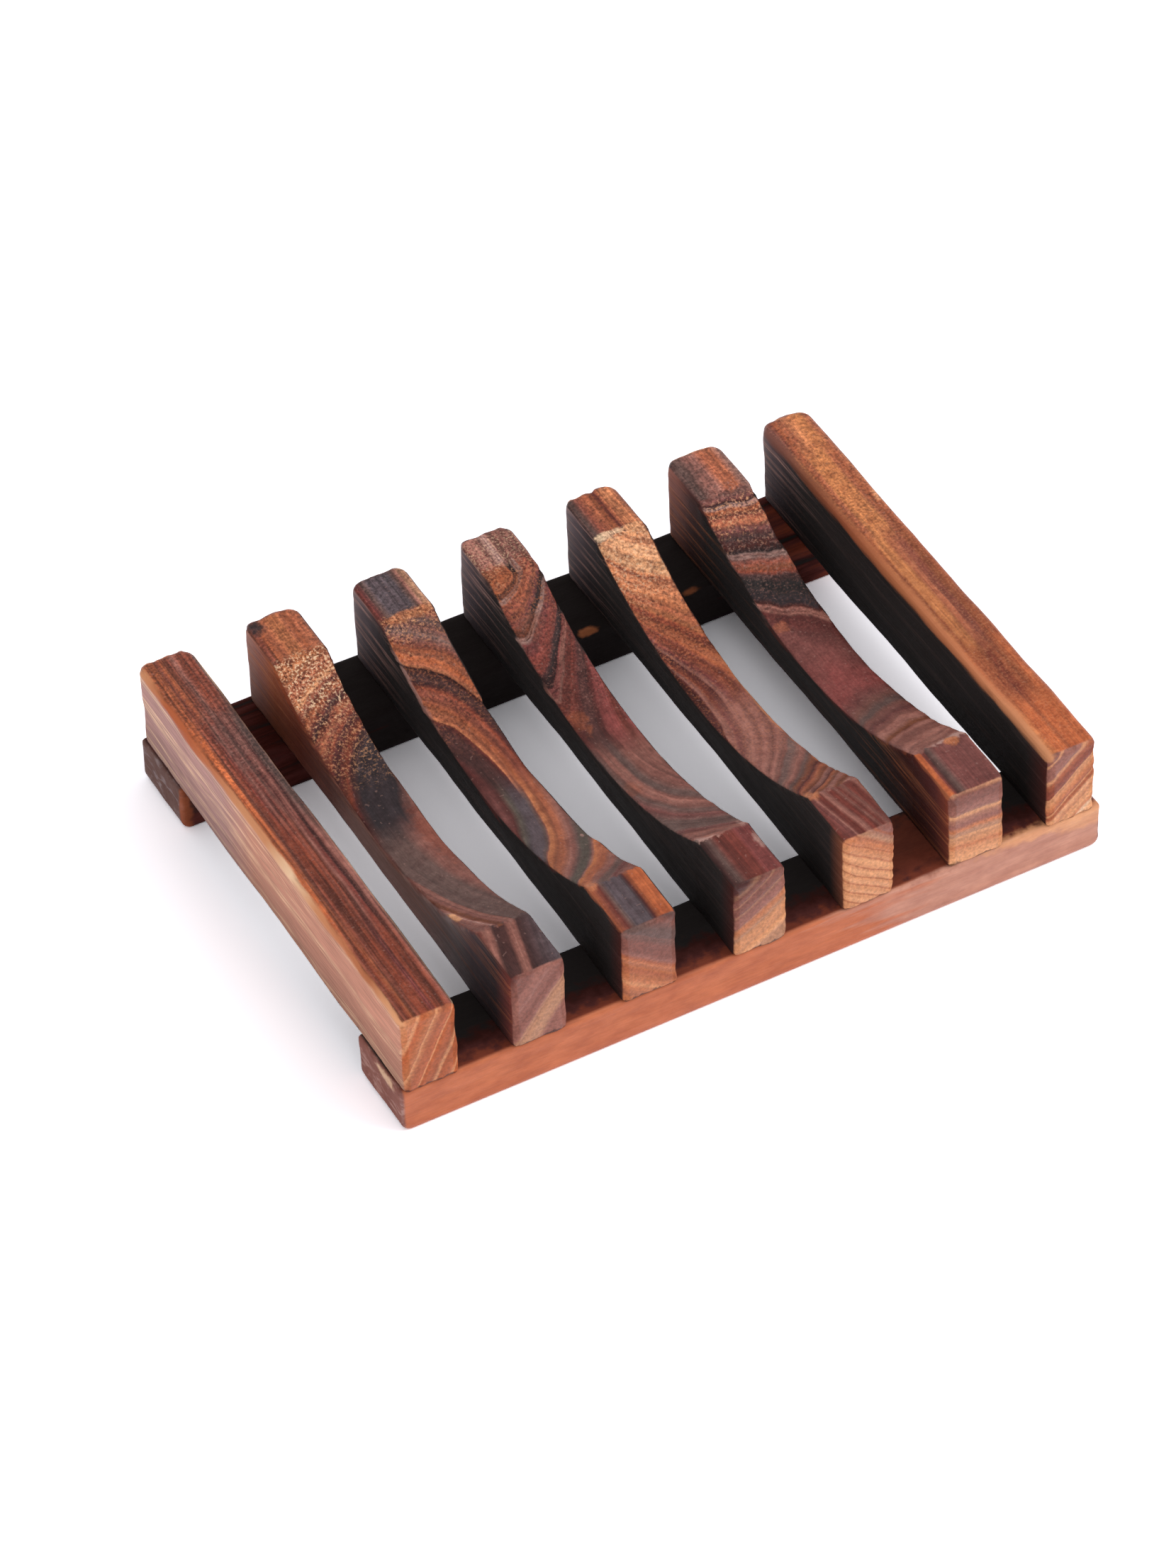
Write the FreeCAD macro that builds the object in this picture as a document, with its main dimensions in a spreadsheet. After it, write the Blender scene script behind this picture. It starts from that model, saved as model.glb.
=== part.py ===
"""Slatted wooden soap dish: seven slats nailed across two rails, as a parametric FreeCAD document.

X runs along the rails, Y along the slats from front to rear, and Z up. The origin is on the surface that
the dish stands on, under its middle. The two side slats are straight and keep the soap in. The slats
between them are scooped by one round cut, so that the soap lies in a hollow and drains through the gaps.
Each rail is nailed to every slat by a brad driven up from below, with its head sunk in the wood.
"""

import FreeCAD
import Part
import os
import Sketcher

# Driving dimensions, in millimetres: the name, the value and what it measures.
SIZES = (
    ("rail_length", 115, "length of each rail, which is the length of the dish"),
    ("rail_width", 13.5, "width of a rail, along the slats"),
    ("rail_height", 8, "height of a rail, which lifts the slats off the surface"),
    ("rail_foot_round", 1.5, "radius of the lower edge at each end of a rail"),
    ("rail_edge_round", 0.6, "radius of a rail's other edges"),
    ("rail_inset", 0.2, "how far a rail's outer face stands back from the slats' ends"),
    ("slat_length", 84, "length of each slat, which is the width of the dish"),
    ("slat_width", 8.7, "usual width of a slat, along the rails"),
    ("slat_height", 14, "height of a slat above the rails"),
    ("slat_margin", 0.5, "how far a rail's end stands out past a side slat"),
    ("slat_edge_round", 0.8, "radius of a slat's long edges and end edges"),
    ("front_corner_round", 0.9, "radius of the upright corners at a slat's front end"),
    ("rear_corner_round", 1.8, "radius of the upright corners at a slat's rear end, worn rounder"),
    ("scoop_land", 10.5, "flat top left at each end of a scooped slat"),
    ("scoop_web", 5.1, "wood left under the lowest point of the scoop"),
    ("scoop_crest_round", 3, "radius of the crest between the flat top and the scoop"),
    ("brad_diameter", 1.2, "diameter of a brad's shank"),
    ("brad_length", 15, "length of a brad from head to tip"),
    ("brad_tip_length", 2, "length of a brad's pointed tip"),
    ("brad_head_diameter", 2, "diameter of a brad's head"),
    ("brad_head_height", 0.8, "height of a brad's head"),
    ("brad_sink", 0.5, "depth of a brad's head below the underside of its rail"),
)

# The slats from left to right. Each was set down by hand and brushed by hand, so it stands off its even
# place by a share of the pitch, and is wider or narrower than usual by a share of the usual width.
SLAT_NAMES = (
    "left_side_slat",
    "scooped_slat_1",
    "scooped_slat_2",
    "scooped_slat_3",
    "scooped_slat_4",
    "scooped_slat_5",
    "right_side_slat",
)
SLAT_PLACE_SHARES = (0, -0.01, 0, 0.02, 0.04, 0.06, -0.03)
SLAT_WIDTH_SHARES = (0, 0, 0.02, 0, -0.03, 0.05, -0.08)

# The distance between neighbouring slats, and from the first slat to the last, as expressions.
SPAN = "(Sizes.rail_length - 2 * Sizes.slat_margin - Sizes.slat_width)"
PITCH = f"({SPAN} / {len(SLAT_NAMES) - 1})"

# The distance from the middle of the dish to the middle of a rail, and the depth of a brad in a slat.
RAIL_PLACE = "(Sizes.slat_length / 2 - Sizes.rail_inset - Sizes.rail_width / 2)"
BRAD_BITE = "(Sizes.brad_sink + Sizes.brad_length - Sizes.rail_height)"

TOLERANCE = 1e-6


def make_sheet(doc):
    """The spreadsheet of driving dimensions, one alias for each."""
    sheet = doc.addObject("Spreadsheet::Sheet", "Sizes")
    for row, (alias, value, meaning) in enumerate(SIZES, start=1):
        sheet.set(f"A{row}", meaning)
        sheet.set(f"B{row}", str(value))
        sheet.setAlias(f"B{row}", alias)
    doc.recompute()
    return sheet


def make_body(doc, label, place):
    """A body named by its label, placed by one expression for each of X, Y and Z."""
    body = doc.addObject("PartDesign::Body", label)
    body.Label = label
    body.AllowCompound = True
    for axis, expression in zip("xyz", place):
        body.setExpression(f".Placement.Base.{axis}", expression)
    return body


def origin_feature(body, role):
    """The origin plane or axis of a body that has this role."""
    return next(f for f in body.Origin.OriginFeatures if f.Role == role)


def make_sketch(body, name, plane_role):
    """An empty sketch on one of the body's own origin planes."""
    sketch = body.newObject("Sketcher::SketchObject", name)
    sketch.AttachmentSupport = [(origin_feature(body, plane_role), "")]
    sketch.MapMode = "FlatFace"
    return sketch


def bind(sketch, kind, *ends, expression):
    """A dimension of the sketch, bound to an expression of the sheet."""
    start = sketch.evalExpression(expression)
    number = sketch.addConstraint(Sketcher.Constraint(kind, *ends, start))
    sketch.setExpression(f"Constraints[{number}]", expression)


def draw_polygon(sketch, points):
    """A closed outline whose corners lie at pairs of expressions, measured from the sketch's origin."""
    corners = []
    for across, up in points:
        corners.append(FreeCAD.Vector(sketch.evalExpression(across), sketch.evalExpression(up), 0))
    for start, end in zip(corners, corners[1:] + corners[:1]):
        sketch.addGeometry(Part.LineSegment(start, end))
    for number in range(len(points)):
        sketch.addConstraint(Sketcher.Constraint("Coincident", number, 2, (number + 1) % len(points), 1))
    for number, (across, up) in enumerate(points):
        bind(sketch, "DistanceX", -1, 1, number, 1, expression=across)
        bind(sketch, "DistanceY", -1, 1, number, 1, expression=up)


def draw_circle(sketch, across, up, radius):
    """A circle whose centre lies at a pair of expressions, measured from the sketch's origin."""
    centre = FreeCAD.Vector(sketch.evalExpression(across), sketch.evalExpression(up), 0)
    upward = FreeCAD.Vector(0, 0, 1)
    number = sketch.addGeometry(Part.Circle(centre, upward, sketch.evalExpression(radius)))
    bind(sketch, "DistanceX", -1, 1, number, 3, expression=across)
    bind(sketch, "DistanceY", -1, 1, number, 3, expression=up)
    bind(sketch, "Radius", number, expression=radius)


def pad_block(body, length, width, height):
    """A block on the body's XY plane, centred on its origin."""
    sketch = make_sketch(body, "Outline", "XY_Plane")
    left, right = f"-({length}) / 2", f"({length}) / 2"
    near, far = f"-({width}) / 2", f"({width}) / 2"
    draw_polygon(sketch, ((left, near), (right, near), (right, far), (left, far)))
    pad = body.newObject("PartDesign::Pad", "Block")
    pad.Profile = sketch
    pad.setExpression("Length", height)
    body.Document.recompute()
    return pad


def cut_pocket(body, name, sketch, depth):
    """A pocket cut upward from the sketch, which lies on the underside of the solid."""
    before = body.Shape.Volume
    pocket = body.newObject("PartDesign::Pocket", name)
    pocket.Profile = sketch
    pocket.Reversed = True
    pocket.setExpression("Length", depth)
    body.Document.recompute()
    if body.Shape.Volume > before - TOLERANCE:
        raise RuntimeError(f"{body.Label}: {name} cuts nothing")
    return pocket


def round_edges(body, name, radius, chosen):
    """A fillet on every edge of the solid so far for which chosen(box of the edge) is true."""
    base = body.Tip
    edges = base.Shape.Edges
    picked = [f"Edge{number}" for number, edge in enumerate(edges, start=1) if chosen(edge.BoundBox)]
    if not picked:
        raise RuntimeError(f"{body.Label}: {name} finds no edge")
    fillet = body.newObject("PartDesign::Fillet", name)
    fillet.Base = (base, picked)
    fillet.setExpression("Radius", f"Sizes.{radius}")
    body.Document.recompute()


def is_upright(box):
    """True for an edge that runs straight up."""
    return box.ZLength > TOLERANCE and box.XLength < TOLERANCE and box.YLength < TOLERANCE


def repeat_along_x(body, features, length, count):
    """Copies of the features in a row along X, over this length in all."""
    pattern = body.newObject("PartDesign::LinearPattern", "Row")
    pattern.Originals = features
    pattern.Direction = (origin_feature(body, "X_Axis"), [""])
    pattern.setExpression("Length", length)
    pattern.Occurrences = count
    body.Tip = pattern
    body.Document.recompute()


def cut_scoop(body, width):
    """The round hollow across the top of a slat, and the soft crest at each end of it."""
    half_chord = "(Sizes.slat_length / 2 - Sizes.scoop_land)"
    depth = "(Sizes.slat_height - Sizes.scoop_web)"
    radius = f"(({half_chord} * {half_chord} + {depth} * {depth}) / (2 * {depth}))"
    sketch = make_sketch(body, "ScoopCircle", "YZ_Plane")
    draw_circle(sketch, "0", f"Sizes.scoop_web + {radius}", radius)
    before = body.Shape.Volume
    scoop = body.newObject("PartDesign::Pocket", "Scoop")
    scoop.Profile = sketch
    scoop.Midplane = True
    scoop.setExpression("Length", f"2 * {width}")
    body.Document.recompute()
    if body.Shape.Volume > before - TOLERANCE:
        raise RuntimeError(f"{body.Label}: the scoop cuts nothing")

    top = body.Tip.Shape.BoundBox.ZMax
    rear = body.Tip.Shape.BoundBox.YMax

    def is_crest(box):
        across = box.YLength < TOLERANCE and box.ZLength < TOLERANCE
        return across and abs(box.ZMin - top) < TOLERANCE and abs(box.YMin) < rear - TOLERANCE

    round_edges(body, "Crest", "scoop_crest_round", is_crest)


def drill_brad_holes(body, across):
    """The blind holes that the two brads leave in a slat's underside."""
    for name, side in (("FrontHole", "-"), ("RearHole", "")):
        sketch = make_sketch(body, f"{name}Circle", "XY_Plane")
        draw_circle(sketch, across, f"{side}{RAIL_PLACE}", "Sizes.brad_diameter / 2")
        cut_pocket(body, name, sketch, BRAD_BITE)


def make_slat(doc, number, label):
    """One slat: a block with worn corners, scooped unless it is a side slat, and holes for its brads."""
    steps = number - (len(SLAT_NAMES) - 1) / 2
    offset = f"({SLAT_PLACE_SHARES[number]} * {PITCH})"
    width = f"(Sizes.slat_width * {1 + SLAT_WIDTH_SHARES[number]})"
    body = make_body(doc, label, (f"{steps} * {PITCH} + {offset}", "0", "Sizes.rail_height"))
    pad_block(body, width, "Sizes.slat_length", "Sizes.slat_height")
    if label.startswith("scooped"):
        cut_scoop(body, width)

    side = body.Tip.Shape.BoundBox.XMax
    end = body.Tip.Shape.BoundBox.YMax
    round_edges(body, "FrontCorners", "front_corner_round", lambda box: is_upright(box) and box.YMax < 0)
    round_edges(body, "RearCorners", "rear_corner_round", lambda box: is_upright(box) and box.YMin > 0)

    def is_rim(box):
        runs_across_scoop = box.XLength > side and box.YMax < end - TOLERANCE and box.YMin > TOLERANCE - end
        upright_seam = is_upright(box) and box.ZMin < TOLERANCE
        return not runs_across_scoop and not upright_seam

    round_edges(body, "Rim", "slat_edge_round", is_rim)
    drill_brad_holes(body, f"-{offset}")
    return body


def make_rail(doc, label, side):
    """One rail: a block with worn corners, and a row of holes for its brads with sunk mouths."""
    body = make_body(doc, label, ("0", f"{side}{RAIL_PLACE}", "0"))
    pad_block(body, "Sizes.rail_length", "Sizes.rail_width", "Sizes.rail_height")

    def is_foot(box):
        return box.ZMax < TOLERANCE and box.XLength < TOLERANCE

    def is_seam(box):
        return box.XLength < TOLERANCE and box.ZLength < TOLERANCE and box.ZMax < top - TOLERANCE

    top = body.Tip.Shape.BoundBox.ZMax
    round_edges(body, "Feet", "rail_foot_round", is_foot)
    round_edges(body, "Rim", "rail_edge_round", lambda box: not is_seam(box))
    cuts = []
    for name, diameter, depth in (
        ("Shank", "Sizes.brad_diameter", "Sizes.rail_height"),
        ("Mouth", "Sizes.brad_head_diameter", "(Sizes.brad_sink + Sizes.brad_head_height)"),
    ):
        sketch = make_sketch(body, f"{name}Circle", "XY_Plane")
        draw_circle(sketch, f"-{SPAN} / 2", "0", f"{diameter} / 2")
        cuts.append(cut_pocket(body, f"{name}Hole", sketch, depth))
    repeat_along_x(body, cuts, SPAN, len(SLAT_NAMES))
    return body


def make_brads(doc, label, side):
    """The row of brads in one rail: each a round shank with a flat head below and a point above."""
    body = make_body(doc, label, (f"-{SPAN} / 2", f"{side}{RAIL_PLACE}", "Sizes.brad_sink"))
    sketch = make_sketch(body, "Outline", "XZ_Plane")
    head = "Sizes.brad_head_diameter / 2"
    shank = "Sizes.brad_diameter / 2"
    shoulder = "Sizes.brad_length - Sizes.brad_tip_length"
    draw_polygon(
        sketch,
        (
            ("0", "0"),
            (head, "0"),
            (head, "Sizes.brad_head_height"),
            (shank, "Sizes.brad_head_height"),
            (shank, shoulder),
            ("0", "Sizes.brad_length"),
        ),
    )
    brad = body.newObject("PartDesign::Revolution", "Brad")
    brad.Profile = sketch
    brad.ReferenceAxis = (sketch, ["V_Axis"])
    doc.recompute()
    repeat_along_x(body, [brad], SPAN, len(SLAT_NAMES))
    return body


def check(doc, pieces):
    """Stops unless every object was computed and every piece is a valid set of closed solids."""
    for thing in doc.Objects:
        if "Invalid" in thing.State or "Error" in thing.State:
            raise RuntimeError(f"{thing.Label} failed: {thing.State}")
    for piece in pieces:
        shape = piece.Shape
        if shape.isNull() or not shape.isValid() or not shape.Solids:
            raise RuntimeError(f"{piece.Label} is not a valid solid")


def main():
    doc = FreeCAD.newDocument("soap_dish")
    make_sheet(doc)
    pieces = [make_slat(doc, number, label) for number, label in enumerate(SLAT_NAMES)]
    for place, side in (("front", "-"), ("rear", "")):
        pieces.append(make_rail(doc, f"{place}_rail", side))
        pieces.append(make_brads(doc, f"{place}_rail_brads", side))
    doc.recompute()
    check(doc, pieces)
    os.makedirs("parts", exist_ok=True)
    for piece in pieces:
        piece.Shape.exportStep(f"parts/{piece.Label}.step")
        print(f"{piece.Label}: {len(piece.Shape.Solids)} solids, {piece.Shape.Volume:.1f} cubic mm")


main()
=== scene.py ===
"""Slatted soap dish of charred, brushed and lacquered softwood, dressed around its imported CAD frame."""

import math
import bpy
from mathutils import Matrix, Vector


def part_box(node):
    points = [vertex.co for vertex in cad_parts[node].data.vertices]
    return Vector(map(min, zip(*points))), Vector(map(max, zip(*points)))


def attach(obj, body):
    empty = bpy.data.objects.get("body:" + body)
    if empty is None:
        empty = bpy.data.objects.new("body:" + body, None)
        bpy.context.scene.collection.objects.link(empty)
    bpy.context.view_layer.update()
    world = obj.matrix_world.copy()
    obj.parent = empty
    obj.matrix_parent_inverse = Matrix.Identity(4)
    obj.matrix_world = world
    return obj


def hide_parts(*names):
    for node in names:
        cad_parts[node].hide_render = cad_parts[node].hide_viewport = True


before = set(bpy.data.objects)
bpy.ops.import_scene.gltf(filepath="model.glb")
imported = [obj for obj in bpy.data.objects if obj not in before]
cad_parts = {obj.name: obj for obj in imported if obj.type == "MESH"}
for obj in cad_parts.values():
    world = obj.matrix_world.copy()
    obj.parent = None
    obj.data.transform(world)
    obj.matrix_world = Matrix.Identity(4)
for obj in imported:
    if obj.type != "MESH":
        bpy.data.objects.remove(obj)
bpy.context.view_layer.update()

from types import SimpleNamespace

import bpy
from bpy.props import FloatProperty, FloatVectorProperty, PointerProperty
from mathutils import Matrix, Vector

bl_info = {
    "name": "Charred Slat Soap Dish",
    "version": (1, 0, 0),
    "blender": (4, 5, 0),
    "location": "View3D > Sidebar > Soap Dish",
    "description": "Models a slatted soap dish of charred and brushed wood around its CAD frame",
    "category": "Add Mesh",
}

MM = 0.001

SIDE_SLATS = ("left_side_slat", "right_side_slat")
SCOOPED_SLATS = tuple(f"scooped_slat_{number}" for number in range(1, 6))
RAILS = ("front_rail", "rear_rail")
BRADS = ("front_rail_brads", "rear_rail_brads")

MATH = "ShaderNodeMath"
VECTOR = "ShaderNodeVectorMath"
RANGE = "ShaderNodeMapRange"
MIX = "ShaderNodeMix"
NOISE = "ShaderNodeTexNoise"

# Settings that many nodes share: a mix of colours, and a range with soft ends.
COLOURS = {"out": 2, "data_type": "RGBA"}
SOFTLY = {"interpolation_type": "SMOOTHSTEP"}

# How far from the middle of a slat the twist of its growth layers is nought, in millimetres.
TWIST_CENTRE = 17.0
# Edges that bend more than this are worn round, and those of the rails less than those of the slats.
SHARP_ANGLE = math.radians(28)
RAIL_ROUND = 0.75
SCOOP_SIDES = 256

# The camera: degrees round the dish, above the floor and of roll, metres away, and its lens in millimetres.
CAMERA_ANGLES = (-27.31, 44.42, -2.14)
CAMERA_DISTANCE = 0.9898
CAMERA_LENS, CAMERA_SENSOR = 154.05, 36.0
CAMERA_SHIFT = (-0.0194, 0.0162)

# The soft light: each lamp's name, place in metres and power in watts, and the strength of the white world.
LAMPS = (("key_softbox", (0.61, -0.35, 0.71), 4.0), ("left_softbox", (-0.85, -0.4, 0.35), 2.0))
LAMP_SIZE = 0.6
WORLD_STRENGTH = 0.7
# How much paler the floor looks than the colour that it lights the dish with.
FLOOR_SEEN = 1.7


def linear(code):
    """An sRGB hex colour as linear red, green and blue."""
    shares = [int(code[start:start + 2], 16) / 255 for start in (1, 3, 5)]
    return tuple(s / 12.92 if s <= 0.04045 else ((s + 0.055) / 1.055) ** 2.4 for s in shares)


# What the flame and the brush left of the wood, and the pale tones that painted highlights and glints take:
# each tone's colour, and how proud of the char it stands.
TONES = {
    "soot": ("#221B1A", 0.0),
    "pitch": ("#240808", 0.0),
    "char": ("#3D1008", 0.1),
    "coal": ("#322629", 0.2),
    "umber": ("#432421", 0.25),
    "plum": ("#532420", 0.3),
    "slate": ("#55464A", 0.38),
    "olive": ("#564A41", 0.42),
    "dusk": ("#654A44", 0.45),
    "prune": ("#713E39", 0.45),
    "maroon": ("#6D3027", 0.42),
    "wine": ("#7A3A36", 0.5),
    "brick": ("#783623", 0.5),
    "brown": ("#753F29", 0.5),
    "mauve": ("#7F4E44", 0.58),
    "russet": ("#884635", 0.58),
    "rose": ("#956054", 0.68),
    "rust": ("#954E30", 0.66),
    "copper": ("#A55C3F", 0.75),
    "orange": ("#B65E36", 0.78),
    "amber": ("#B26943", 0.82),
    "ochre": ("#BD7345", 0.84),
    "ash": ("#AD847A", 0.75),
    "peach": ("#C37750", 0.88),
    "sand": ("#B58265", 0.85),
    "gold": ("#CF8C62", 0.94),
    "tan": ("#E2A073", 1.0),
    "cream": ("#F2CAA4", 1.0),
    "smoke": ("#8A7979", 0.5),
    "blush": ("#C28873", 0.6),
    "dust": ("#B68B84", 0.6),
    "clay": ("#BE6A46", 0.6),
}

# Tones of flanks that several slats share, from front to rear in millimetres from the middle. Over the last
# 13 mm to the rear end the soot turns pale grey: painted light on the rounded rear corners.
BURNT = ((-42, "soot"), (42, "soot"))
SINGED = ((-42, "soot"), (42, "char"))
SOOT_WITH_PAINTED_LIGHT_AT_REAR = ((-42, "char"), (-38, "soot"), (29, "soot"), (34, "coal"), (38, "slate"), (42, "smoke"))
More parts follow.
